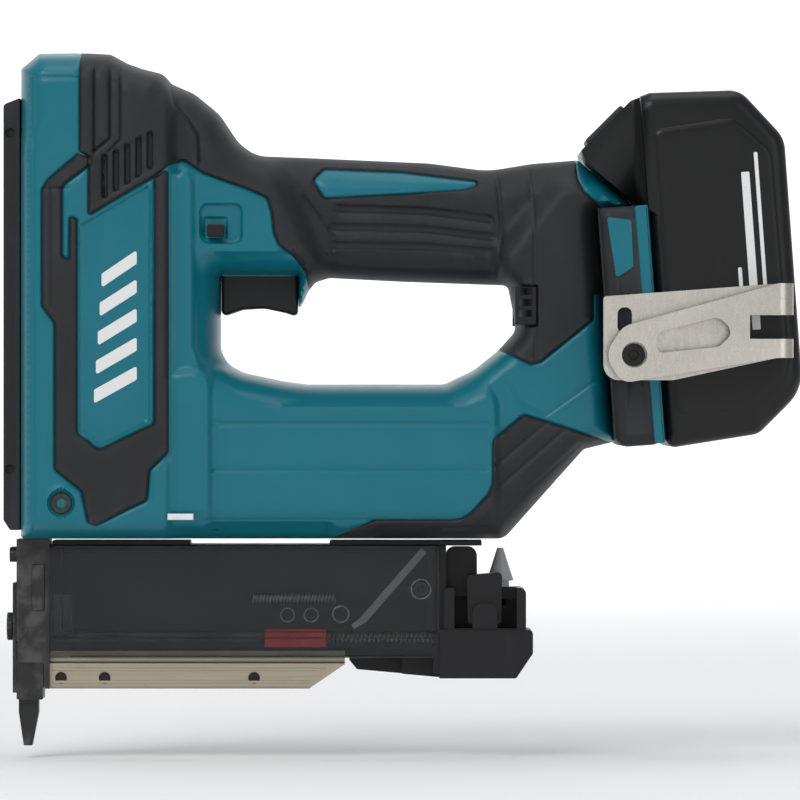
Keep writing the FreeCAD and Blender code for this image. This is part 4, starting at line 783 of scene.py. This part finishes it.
def make_housing(scene):
    """Both halves of the shell and of the overmould; gives back the height at each case screw."""
    shell = scene.nailer_shell
    flat, edges, room = housing_points(shell.mesh_step)
    result = geometry.delaunay_2d_cdt([Vector(p) for p in flat], edges, [], 0, 1e-5)
    flat = np.array([tuple(v) for v in result[0]])
    triangles = np.array([tuple(t) for t in result[2]])
    middle = flat[triangles].mean(axis=1)
    keep = room(middle) > 0
    dark = np.zeros(len(middle), bool)
    for outline in (HEAD_GRIP, WING_GRIP, REAR_GUARD):
        dark |= inside(middle, rounded(outline))
    dark &= ~inside(middle, rounded(HANDLE_INLAY))
    depth = np.maximum(room(flat), 0)
    on_edge = depth < 0.02
    common = housing_height(flat, depth)
    for side, name in ((-1, "left"), (1, "right")):
        outer = one_sided(flat, depth, common, side < 0)
        outer = np.where(on_edge & (outer < 6), 0.0, np.maximum(outer, 0))
        inner = np.where(on_edge, outer, np.maximum(outer - shell.wall, 0.0))
        for part, slot, mask in (("housing", "shell", keep & ~dark), ("grip", "soft_grip", keep & dark)):
            kept = triangles[mask].tolist()
            obj = relief(part + "_" + name + "_skin", flat, kept, outer, inner, side, slot)
            settle(obj, part + "_" + name)
    wells = np.array(FAR_SCREWS)
    return housing_height(wells, room(wells)) - 0.6


def clipped(node, name, slot, cuts, width=1.0):
    """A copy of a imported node, cut off past each (place, direction) plane and closed again."""
    mesh = frame["nodes"][node].data.copy()
    bm = bmesh.new()
    bm.from_mesh(mesh)
    bmesh.ops.remove_doubles(bm, verts=bm.verts, dist=NODE_WELD)
    for place, away in cuts:
        everything = list(bm.verts) + list(bm.edges) + list(bm.faces)
        bmesh.ops.bisect_plane(bm, geom=everything, dist=1e-7, plane_co=[c * MM for c in place],
                               plane_no=away, clear_outer=True)
        bmesh.ops.holes_fill(bm, edges=[e for e in bm.edges if e.is_boundary], sides=0)
    bmesh.ops.triangulate(bm, faces=[f for f in bm.faces if len(f.verts) > 4])
    bmesh.ops.scale(bm, vec=(1, width, 1), verts=bm.verts)
    bm.to_mesh(mesh)
    bm.free()
    obj = bpy.data.objects.new(name, mesh)
    bpy.context.scene.collection.objects.link(obj)
    flattened(dressed(obj, slot, 35))
    settle(obj, node)
    return obj


def make_foot(side):
    """Box round the battery rails, behind the link, and its bright rim and window."""
    name = "left" if side < 0 else "right"
    across = (math.cos(TILT), 0, math.sin(TILT))
    up = (-math.sin(TILT), 0, math.cos(TILT))
    (x0, z0), (x1, z1) = bay(-15.3, 0), bay(0, 2.3)
    clipped("housing_" + name, "foot_" + name, "soft_grip",
            [((x0, 0, z0), tuple(-c for c in across)), ((x1, 0, z1), up)], 0.985)
    window = [bay(-13.2, -1.0, 0.8), bay(-5.4, -2.6, 0.8), bay(-5.8, -17.4, 0.8), bay(-11.6, -20.6, 0.8)]
    rim = [bay(-4.2, 1.9, 1.2), bay(0.1, 1.9, 0.5), bay(0.1, -73.6, 0.5), bay(-3.3, -73.6, 1.2)]
    slab("foot_window_" + name, window, side * 34, side * 36.95, 0.3, "shell", "tool")
    slab("foot_rim_" + name, rim, side * 29.5, side * 36.98, 0.7, "shell", "tool")


def slab(name, corners, y0, y1, bevel, material, body, steps=3):
    """Piece with an outline in X and Z between two places in Y, its two faces' edges rounded."""
    y0, y1 = min(y0, y1), max(y0, y1)
    line = rounded(corners, 2.5)
    area = np.sum(np.roll(line[:, 0], 1) * line[:, 1] - line[:, 0] * np.roll(line[:, 1], 1))
    inward = square_to(line) * (1 if area > 0 else -1)
    turns = [math.pi / 2 * k / steps for k in range(steps + 1)]
    rings = [(line + inward * bevel * (1 - math.sin(a)), y0 + bevel * (1 - math.cos(a))) for a in turns]
    rings += [(ring, y0 + y1 - y) for ring, y in reversed(rings)]
    verts = [(x, y, z) for ring, y in rings for x, z in ring]
    n = len(line)
    faces = [tuple(range(n)), tuple(range(len(verts) - 1, len(verts) - n - 1, -1))]
    for k in range(len(rings) - 1):
        faces += [(k * n + i, k * n + (i + 1) % n, (k + 1) * n + (i + 1) % n, (k + 1) * n + i)
                  for i in range(n)]
    obj = flattened(add_object(name, verts, faces, material, 50))
    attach(obj, body)
    return obj


def bar(x0, z0, x1, z1, width, radius=0.3):
    """Corners of a straight bar between two places."""
    dx, dz = x1 - x0, z1 - z0
    size = math.hypot(dx, dz)
    sx, sz = -dz / size * width / 2, dx / size * width / 2
    return [(x0 + sx, z0 + sz, radius), (x1 + sx, z1 + sz, radius), (x1 - sx, z1 - sz, radius),
            (x0 - sx, z0 - sz, radius)]


def make_plate(name, corners, base, rise, side, material, body, step=1.4):
    """Raised moulded panel whose edge swells out of the surface."""
    line = rounded(corners, step)
    grid = np.stack(np.meshgrid(np.arange(line[:, 0].min(), line[:, 0].max(), step),
                                np.arange(line[:, 1].min(), line[:, 1].max(), step)), -1).reshape(-1, 2)
    rings = [line + square_to(line) * gap * sign for gap in (0.3, 0.7, 1.2, 1.8, 2.6) for sign in (-1, 1)]
    gaps = np.repeat((0.3, 0.7, 1.2, 1.8, 2.6), 2)
    rings = [ring[np.abs(depth_in(ring, line) - gap) < 0.1 * gap] for ring, gap in zip(rings, gaps)]
    flat = np.concatenate((line, *rings, grid[depth_in(grid, line) > 3.2]))
    n = len(line)
    border = [(k, (k + 1) % n) for k in range(n)]
    result = geometry.delaunay_2d_cdt([Vector(q) for q in flat], border, [], 0, 1e-5)
    flat = np.array([tuple(v) for v in result[0]])
    triangles = np.array([tuple(t) for t in result[2]])
    triangles = triangles[inside(flat[triangles].mean(axis=1), line)].tolist()
    depth = np.maximum(depth_in(flat, line), 0)
    outer = base + rise * ease(depth / 2.4)
    obj = relief(name, flat, triangles, outer, np.full(len(flat), base - 0.6), side, material)
    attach(obj, body)
    return obj


# ------------------------------------------------------------------ geometry nodes
class Tree:
    """A Geometry Nodes group with named inputs, realised into a plain mesh."""

    def __init__(self, name, inputs):
        self.group = bpy.data.node_groups.new(name, "GeometryNodeTree")
        face = self.group.interface
        for key, (kind, value, low_end, high_end) in inputs.items():
            socket = face.new_socket(name=key, in_out="INPUT", socket_type=kind)
            socket.default_value = value
            socket.min_value, socket.max_value = low_end, high_end
        face.new_socket(name="Geometry", in_out="OUTPUT", socket_type="NodeSocketGeometry")
        self.input = self.group.nodes.new("NodeGroupInput")
        self.output = self.group.nodes.new("NodeGroupOutput")

    def add(self, kind, settings=None, **sockets):
        node = self.group.nodes.new(kind)
        for key, value in (settings or {}).items():
            setattr(node, key, value)
        for key, value in sockets.items():
            socket = node.inputs[key.replace("_", " ")]
            if isinstance(value, bpy.types.NodeSocket):
                self.group.links.new(value, socket)
            else:
                socket.default_value = value
        return node

    def maths(self, operation, first, second):
        node = self.group.nodes.new("ShaderNodeMath")
        node.operation = operation
        for socket, value in zip(node.inputs, (first, second)):
            if isinstance(value, bpy.types.NodeSocket):
                self.group.links.new(value, socket)
            else:
                socket.default_value = value
        return node.outputs[0]

    def realise(self, name, geometry_socket, material, values):
        """Evaluates the group once and returns a plain object made from its mesh."""
        real = self.add("GeometryNodeRealizeInstances", Geometry=geometry_socket)
        last = self.add("GeometryNodeSetMaterial", Geometry=real.outputs[0], Material=MATERIALS[material])
        self.group.links.new(last.outputs[0], self.output.inputs[0])
        holder = bpy.data.objects.new(name + "_source", bpy.data.meshes.new(name + "_source"))
        bpy.context.scene.collection.objects.link(holder)
        modifier = holder.modifiers.new("shape", "NODES")
        modifier.node_group = self.group
        for item in self.group.interface.items_tree:
            if item.in_out == "INPUT" and item.name in values:
                modifier[item.identifier] = values[item.name]
        depsgraph = bpy.context.evaluated_depsgraph_get()
        mesh = bpy.data.meshes.new_from_object(holder.evaluated_get(depsgraph))
        bpy.data.objects.remove(holder)
        mesh.name = name
        obj = bpy.data.objects.new(name, mesh)
        bpy.context.scene.collection.objects.link(obj)
        return obj


def coil(node, turns, radius, wire, slot):
    """Evenly wound wire along X inside a node's box."""
    lo, hi = low(node), high(node)
    tree = Tree(node + "_coil", {
        "Turns": ("NodeSocketFloat", turns, 1, 200), "Radius": ("NodeSocketFloat", radius * MM, 0, 1),
        "Wire": ("NodeSocketFloat", wire * MM, 0, 1),
        "Length": ("NodeSocketFloat", (hi.x - lo.x) * MM, 0, 1)})
    length = tree.maths("SUBTRACT", tree.input.outputs["Length"], tree.maths("MULTIPLY", 2.0,
                                                                             tree.input.outputs["Wire"]))
    spiral = tree.add("GeometryNodeCurveSpiral", Resolution=18, Rotations=tree.input.outputs["Turns"],
                      Start_Radius=tree.input.outputs["Radius"], End_Radius=tree.input.outputs["Radius"],
                      Height=length)
    section = tree.add("GeometryNodeCurvePrimitiveCircle", Resolution=8, Radius=tree.input.outputs["Wire"])
    swept = tree.add("GeometryNodeCurveToMesh", Curve=spiral.outputs[0], Profile_Curve=section.outputs[0])
    swept.inputs["Fill Caps"].default_value = True
    middle = (lo + hi) / 2
    placed = tree.add("GeometryNodeTransform", Geometry=swept.outputs[0], Rotation=(0, math.pi / 2, 0),
                      Translation=((lo.x + wire) * MM, middle.y * MM, middle.z * MM))
    values = {"Turns": float(turns), "Radius": radius * MM, "Wire": wire * MM, "Length": (hi.x - lo.x) * MM}
    obj = tree.realise(node + "_wire", placed.outputs[0], slot, values)
    dressed(obj, slot, 60, recalculate=True)
    settle(obj, node)
    return obj


def pressed(obj, joint):
    """Gives the spring its own mesh; the shortening by the joint's travel is worked out but not applied, so the
    spring keeps its length.
    """
    facts = next(j for j in frame["joints"] if j["name"] == joint)
    axis = Vector(facts["axis"])
    reach = [v.co.dot(axis) for v in obj.data.vertices]
    length = max(reach) - min(reach)
    1 - max(facts["range_m"]) / length
    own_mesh(obj)


def socket_screw(radius, deep, hexagon):
    """Head of a socket screw about the origin, facing +Z, with a broken rim and a six-sided well."""
    steps = 36
    turn = [2 * math.pi * k / steps for k in range(steps)]
    ring = lambda r, z: [(r * math.cos(a), r * math.sin(a), z) for a in turn]
    well = []
    for a in turn:
        r = hexagon * math.cos(math.pi / 6) / math.cos((a + math.pi / 6) % (math.pi / 3) - math.pi / 6)
        well.append((r * math.cos(a), r * math.sin(a)))
    rings = [ring(radius * 0.99, -deep), ring(radius, -deep * 0.2), ring(radius * 0.9, 0),
             [(x * 1.12, y * 1.12, 0) for x, y in well], [(x, y, -0.25) for x, y in well],
             [(x * 0.96, y * 0.96, -deep * 0.6) for x, y in well]]
    verts = [v for r in rings for v in r]
    faces = [tuple(reversed(range(steps)))]
    for k in range(len(rings) - 1):
        faces += [(k * steps + i, k * steps + (i + 1) % steps, (k + 1) * steps + (i + 1) % steps,
                   (k + 1) * steps + i) for i in range(steps)]
    faces.append(tuple(range((len(rings) - 1) * steps, len(rings) * steps)))
    return verts, faces


def hoop(wire, steps=32, sides=8):
    """Ring of unit radius about the origin in the XY plane."""
    verts = [((1 + wire * math.cos(b)) * math.cos(a), (1 + wire * math.cos(b)) * math.sin(a),
              wire * math.sin(b))
             for a in np.linspace(0, 2 * math.pi, steps, endpoint=False)
             for b in np.linspace(0, 2 * math.pi, sides, endpoint=False)]
    faces = [(i * sides + j, ((i + 1) % steps) * sides + j, ((i + 1) % steps) * sides + (j + 1) % sides,
              i * sides + (j + 1) % sides) for i in range(steps) for j in range(sides)]
    return verts, faces


TURNS = {"-Y": (math.pi / 2, 0, 0), "+Y": (-math.pi / 2, 0, 0)}


def scatter(name, pattern, places, body, slot):
    """Copies of a unit pattern on points; places are (x, y, z, way it faces, size in millimetres)."""
    model = add_object(name + "_pattern", pattern[0], pattern[1], slot, 40)
    mesh = bpy.data.meshes.new(name + "_points")
    mesh.from_pydata([tuple(c * MM for c in p[:3]) for p in places], [], [])
    mesh.attributes.new("turn", "FLOAT_VECTOR", "POINT")
    mesh.attributes.new("size", "FLOAT", "POINT")
    mesh.attributes["turn"].data.foreach_set("vector", [c for p in places for c in TURNS[p[3]]])
    mesh.attributes["size"].data.foreach_set("value", [p[4] for p in places])
    points = bpy.data.objects.new(name + "_points", mesh)
    bpy.context.scene.collection.objects.link(points)
    tree = Tree(name + "_group", {"Size": ("NodeSocketFloat", 1.0, 0.1, 5.0)})
    where = tree.add("GeometryNodeObjectInfo", Object=points)
    single = tree.add("GeometryNodeObjectInfo", Object=model)
    turned = tree.add("GeometryNodeInputNamedAttribute", {"data_type": "FLOAT_VECTOR"}, Name="turn")
    sized = tree.add("GeometryNodeInputNamedAttribute", {"data_type": "FLOAT"}, Name="size")
    scale = tree.maths("MULTIPLY", sized.outputs[0], tree.input.outputs["Size"])
    euler = tree.add("FunctionNodeEulerToRotation", Euler=turned.outputs[0])
    placed = tree.add("GeometryNodeInstanceOnPoints", Points=where.outputs["Geometry"],
                      Instance=single.outputs["Geometry"], Rotation=euler.outputs[0], Scale=scale)
    obj = tree.realise(name, placed.outputs[0], slot, {"Size": 1.0})
    for helper in (points, model):
        bpy.data.objects.remove(helper)
    dressed(obj, slot, 40, recalculate=True)
    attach(obj, body)
    return obj


# ------------------------------------------------------------------ operators
class PieceOperator(bpy.types.Operator):
    """Shared by every operator that makes pieces."""
    bl_options = {"REGISTER", "UNDO"}

    def execute(self, context):
        self.make(context.scene)
        return {"FINISHED"}


class NAILER_OT_finishes(PieceOperator):
    """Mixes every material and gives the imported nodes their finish"""
    bl_idname = "nailer.finishes"
    bl_label = "Finishes"

    def make(self, scene):
        mix_materials()
        for part in frame["record"]["subparts"]:
            finish_nodes(part["material_slot"], [part["node"]])


class NAILER_OT_housing(PieceOperator):
    """Moulded housing halves with their soft overmould, vents, seams and foot"""
    bl_idname = "nailer.housing"
    bl_label = "Housing"

    def make(self, scene):
        wells = make_housing(scene)
        for side in (-1, 1):
            make_foot(side)
            name = "panel_mark_" + ("left" if side < 0 else "right")
            for k in range(5):
                x, z = 22.6 + k * 0.6, 110 + 9.2 * k
                stripe = [(x, z, 0.5), (36.2, z + 7.6, 0.5), (36.2, z + 12, 0.5), (x, z + 4.4, 0.5)]
                slab("%s_%d" % (name, k), stripe, side * (COLUMN_HALF - 2.6), side * (COLUMN_HALF - 1.6),
                     0.08, "mark", "tool")
        x, z = COLUMN_SCREW
        heads = [(x, -28.9, z, "-Y", 3.5), (x, 28.9, z, "+Y", 3.5)]
        heads += [(x, float(y), z, "+Y", 3.5) for (x, z), y in zip(FAR_SCREWS, wells)]
        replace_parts(scatter("case_screws", socket_screw(1.0, 0.8, 0.5), heads, "tool", "black_steel"),
                    "housing_screws")


class NAILER_OT_controls(PieceOperator):
    """Trigger, lock button, vent grilles, lights and the front bumper"""
    bl_idname = "nailer.controls"
    bl_label = "Controls"

    def make(self, scene):
        pull = [(62.4, 155.8, 1.5), (86.9, 155.8, 1.5), (87.1, 147, 3), (86.9, 137.8, 1.5), (83.2, 139.1, 6),
                (76.2, 140.6, 12), (69.2, 140.2, 6), (62.4, 137.8, 1.5)]
        trigger = slab("trigger_pull", pull, -7.4, 7.4, 1.3, "black_plastic", "trigger", steps=5)
        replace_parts(trigger, "trigger")
        for node, width in (("lock_button", 0.35), ("vent_grilles", 0.2), ("work_lights", 0.2),
                            ("front_bumper", 0.6)):
            softened(node, slot_of(node), width)


class NAILER_OT_battery(PieceOperator):
    """Battery pack: body, cover, raised side panels, button and printed mark"""
    bl_idname = "nailer.battery"
    bl_label = "Battery"

    def make(self, scene):
        for node in ("battery_case", "battery_cover"):
            clipped(node, node + "_piece", "battery_plastic", [])
        softened("battery_button", "battery_button", 0.4)
        panel = [bay(2.6, 26.5, 4), bay(29.5, 28.5, 8), bay(41.5, 16.5, 9), bay(42.2, -55.5, 12),
                 bay(28, -66.8, 9), bay(3.4, -66.0, 3.5)]
        for side in (-1, 1):
            name = "left" if side < 0 else "right"
            make_plate("battery_panel_" + name, panel, BATTERY_HALF - 0.5, 1.2, side, "battery_plastic",
                       "battery")
            for k, (low_end, high_end, width) in enumerate(((-40, 10, 2.6), (-32, 16, 1.2), (-50, -20, 1.2))):
                u = (31.5, 35.2, 27.6)[k]
                mark = bar(*bay(u, low_end), *bay(u, high_end), width)
                slab("battery_mark_%s_%d" % (name, k), mark, side * 36.3, side * 36.96, 0.06, "mark",
                     "battery")
        edge = [bay(-16.2, 22.9, 0.4), bay(-3.9, 33.6, 0.4), bay(-5.2, 35.2, 0.9), bay(-17.5, 24.6, 0.9)]
        slab("battery_strip", edge, -12.5, 12.5, 0.5, "battery_button", "battery")


class NAILER_OT_nose(PieceOperator):
    """Driver guide, contact element and depth adjuster"""
    bl_idname = "nailer.nose"
    bl_label = "Nose"

    def make(self, scene):
        for node, width in (("driver_guide", 0.3), ("contact_arm", 0.2), ("contact_tip", 0.3),
                            ("depth_adjuster", 0.25), ("nose_screws", 0.2)):
            softened(node, slot_of(node), width)
        for side in (-1, 1):
            name = "left" if side < 0 else "right"
            apron = [(-2.9, 26.8, 0.6), (-2.9, 41.0, 0.6), (7.2, 41.0, 0.6), (7.2, 26.8, 0.6)]
            slab("nose_apron_" + name, apron, side * 6.6, side * 7.9, 0.3, "black_steel", "tool")
            ridge = [(1.6, 43.5, 0.6), (1.6, 58.5, 0.6), (5.8, 58.5, 0.6), (5.8, 43.5, 0.6)]
            slab("nose_ridge_" + name, ridge, side * 7.0, side * 8.7, 0.4, "black_steel", "tool")


class NAILER_OT_springs(PieceOperator):
    """Springs copied from their nodes, each given its own mesh"""
    bl_idname = "nailer.springs"
    bl_label = "Springs"

    def make(self, scene):
        for node, joint in (("drive_spring", "plunger_lift"), ("trigger_spring", "trigger_pull"),
                            ("contact_spring", "contact_press"), ("button_spring", "battery_release")):
            pressed(clipped(node, node + "_wire", slot_of(node), []), joint)


class NAILER_OT_magazine(PieceOperator):
    """Magazine, its smoked cover, rail, pusher, springs, latch and end cap"""
    bl_idname = "nailer.magazine"
    bl_label = "Magazine"

    def make(self, scene):
        metal = scene.nailer_metal
        for node, width in (("magazine_body", 0.3), ("magazine_cover", 0.35), ("magazine_rail", 0.25),
                            ("end_cap", 0.6), ("latch_lever", 0.4), ("nose_adapter", 0.2)):
            softened(node, slot_of(node), width)
        cover = bpy.data.objects["magazine_cover_piece"].data
        cover.transform(Matrix.Translation((0, -COVER_LIFT * MM, 0)))
        clipped("pusher", "pusher_block", "red", [((76.3, 0, 0), (-1, 0, 0))])
        blade = clipped("pusher", "pusher_blade", "red", [((76.3, 0, 0), (1, 0, 0))])
        blade.data.materials[0] = MATERIALS["black_steel"]
        pressed(coil("pusher_spring", metal.pusher_turns, 1.35, 0.28, "steel"), "pusher_slide")
        coil("lockout_spring", metal.lockout_turns, 1.35, 0.28, "steel")
        face = low("magazine_cover").y
        ribs = [bar(127.4, 63.0, 107.6, 40.2, 2.4), bar(107.9, 40.6, 104.6, 38.4, 2.0),
                bar(11.2, 36.8, 11.2, 63.4, 0.7), bar(11.2, 36.8, 131, 36.8, 0.6),
                bar(9, 34.9, 131, 34.9, 0.6), bar(14, 28.9, 130, 28.9, 0.6),
                bar(8.4, 64.0, 131.6, 64.0, 0.9)]
        # ribs 0 and 1, the diagonal rib, take the paler smoked copy: a painted highlight along it; the other ribs
        # stay smoked
        for k, rib in enumerate(ribs):
            slab("cover_rib_%d" % k, rib, face - 0.35, face + 0.4, 0.15, "smoked_highlight" if k < 2 else "smoked",
                 "magazine")
        rings = [(83.7, face, 42.2, "-Y", 2.2), (91.3, face, 42.2, "-Y", 2.2), (100.8, face, 42.5, "-Y", 2.6),
                 (126.5, face, 50.5, "-Y", 3.1), (126.5, face, 50.5, "-Y", 1.5)]
        hoops = scatter("cover_rings", hoop(0.1), rings, "magazine", "smoked")
        # the moulded rings take the paler smoked copy: a painted highlight on them
        hoops.data.materials[0] = MATERIALS["smoked_highlight"]
        scatter("cover_screw", socket_screw(1.0, 0.5, 0.45), [(126.5, face - 0.2, 50.5, "-Y", 2.6)],
                "magazine", "black_steel")
        for k, (x0, x1) in enumerate(((8.2, 52.4), (97.2, 146.0))):
            strip = [(x0, 64.4, 0.2), (x0, 66.1, 0.3), (x1, 66.1, 0.3), (x1, 64.4, 0.2)]
            slab("magazine_lip_%d" % k, strip, -7.6, 7.6, 0.3, "black_plastic", "magazine")
        web = [(131.4, 36, 0.3), (131.4, 64.6, 0.3), (134.6, 64.6, 0.3), (134.6, 36, 0.3)]
        slab("cap_web", web, -7.5, 7.5, 0.3, "black_plastic", "magazine")
        for k, z in enumerate((24.6, 20.6)):
            slab("rail_rib_%d" % k, bar(8.2, z, 96 - 5.5 * k, z, 0.9), low("magazine_rail").y - 0.35,
                 low("magazine_rail").y + 0.3, 0.2, "anodised", "tool")


class NAILER_OT_hook(PieceOperator):
    """Belt hook and its screw"""
    bl_idname = "nailer.hook"
    bl_label = "Belt hook"

    def make(self, scene):
        softened("belt_hook", "hook_steel", 0.18, 40)
        softened("hook_screw", slot_of("hook_screw"), 0.25)


def slot_of(node):
    """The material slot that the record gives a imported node."""
    return next(p["material_slot"] for p in frame["record"]["subparts"] if p["node"] == node)


class NAILER_OT_stage(PieceOperator):
    """Pale sweep, soft lights and the camera square to the hook side"""
    bl_idname = "nailer.stage"
    bl_label = "Stage"

    def make(self, scene):
        stage = scene.nailer_stage
        sweep(stage)
        lights(scene)
        camera = bpy.data.cameras.new("camera")
        camera.sensor_width = 36
        camera.lens = 36 * stage.distance / stage.view_width
        camera.clip_start, camera.clip_end = 0.05, 20
        eye = bpy.data.objects.new("camera", camera)
        lo, hi = CAD_BOX
        middle = Vector(((lo.x + hi.x) / 2 - 0.0002, lo.y, (lo.z + hi.z) / 2 - 0.0002))
        eye.location = middle + Vector((0.0, -stage.distance, 0.0))
        eye.rotation_euler = (math.pi / 2, 0, 0)
        scene.collection.objects.link(eye)
        scene.camera = eye


BACKDROP_PLACE = 4.2  # metres behind the tool, past the camera of any other view


def sweep(stage):
    """Floor that curves up into a backdrop."""
    lo, hi = CAD_BOX
    ground, back, rise, width = lo.z - 0.004, BACKDROP_PLACE, 5.0, 7.0
    bend = 1.2
    profile = [(-5.0, ground), (back - bend, ground)]
    profile += [(back - bend + bend * math.sin(a), ground + bend * (1 - math.cos(a)))
                for a in [math.pi / 2 * k / 16 for k in range(1, 17)]]
    profile.append((back, rise))
    verts = [(x / MM, y / MM, z / MM) for y, z in profile for x in (-width, width)]
    faces = [(2 * k, 2 * k + 1, 2 * k + 3, 2 * k + 2) for k in range(len(profile) - 1)]
    paper = Finish("backdrop_paper")
    fibre = paper.noise(30, 4)
    MATERIALS["backdrop"] = paper.finish(
        Base_Color=paper.mix(fibre, shade(stage.backdrop, 0.995), shade(stage.backdrop, 1.005)),
        Roughness=fibre * 0.1 + 0.85, Specular_IOR_Level=0.1)
    obj = add_object("sweep", verts, faces, "backdrop", 60)


SOFT_LAMPS = (  # name, place from the tool's middle, size, watts
    ("key", (-0.9, -1.5, 1.3), (1.4, 1.0), 19.0),
    ("fill", (1.3, -1.6, 0.5), (1.2, 1.4), 5.0),
    ("top", (0.1, -0.1, 1.7), (1.6, 1.0), 8.0),
    ("low", (0.2, -1.7, -0.12), (1.6, 0.5), 1.6))
BACK_LAMPS = (
    ("back_high", (0.0, 1.5, 2.4), (3.0, 0.4), 34.0),
    ("back_wide", (0.0, 2.2, 1.9), (3.0, 0.4), 34.0))


def lamps(scene, group, middle, target):
    """Rectangular lamps placed from the tool's middle and turned to a target."""
    for name, place, size, power in group:
        lamp = bpy.data.lights.new(name, "AREA")
        lamp.shape, lamp.energy = "RECTANGLE", power
        lamp.size, lamp.size_y = size
        obj = bpy.data.objects.new(name, lamp)
        obj.location = middle + Vector(place)
        obj.rotation_mode = "QUATERNION"
        obj.rotation_quaternion = (target - obj.location).to_track_quat("-Z", "Y")
        scene.collection.objects.link(obj)


def lights(scene):
    """Soft lamps on the tool, two on the backdrop behind it, and an even sky."""
    lo, hi = CAD_BOX
    middle = (lo + hi) / 2
    lamps(scene, SOFT_LAMPS, middle, middle)
    lamps(scene, BACK_LAMPS, middle, Vector((0, BACKDROP_PLACE, 0.5)))
    world = bpy.data.worlds.new("studio")
    world.use_nodes = True
    world.node_tree.nodes["Background"].inputs["Color"].default_value = (0.95, 0.97, 1.0, 1)
    world.node_tree.nodes["Background"].inputs["Strength"].default_value = 0.42
    scene.world = world
    scene.view_settings.view_transform = "Standard"


class NAILER_PT_panel(bpy.types.Panel):
    """Buttons that build the nailer in order"""
    bl_idname = "NAILER_PT_panel"
    bl_label = "Brad nailer"
    bl_space_type = "VIEW_3D"
    bl_region_type = "UI"
    bl_category = "Nailer"

    def draw(self, context):
        for operator in OPERATORS:
            self.layout.operator(operator.bl_idname)


SETTINGS = (("nailer_shell", ShellSettings), ("nailer_metal", MetalSettings), ("nailer_stage", StageSettings))
OPERATORS = (NAILER_OT_finishes, NAILER_OT_housing, NAILER_OT_controls, NAILER_OT_battery, NAILER_OT_nose,
             NAILER_OT_springs, NAILER_OT_magazine, NAILER_OT_hook, NAILER_OT_stage)


def register():
    for name, group in SETTINGS:
        bpy.utils.register_class(group)
        setattr(bpy.types.Scene, name, PointerProperty(type=group))
    for operator in OPERATORS:
        bpy.utils.register_class(operator)
    bpy.utils.register_class(NAILER_PT_panel)


def unregister():
    bpy.utils.unregister_class(NAILER_PT_panel)
    for operator in reversed(OPERATORS):
        bpy.utils.unregister_class(operator)
    for name, group in reversed(SETTINGS):
        delattr(bpy.types.Scene, name)
        bpy.utils.unregister_class(group)


def main():
    register()
    for operator in OPERATORS:
        module, name = operator.bl_idname.split(".")
        if getattr(getattr(bpy.ops, module), name)() != {"FINISHED"}:
            raise RuntimeError(operator.bl_label + " didn't finish")


if __name__ == "__main__":
    main()
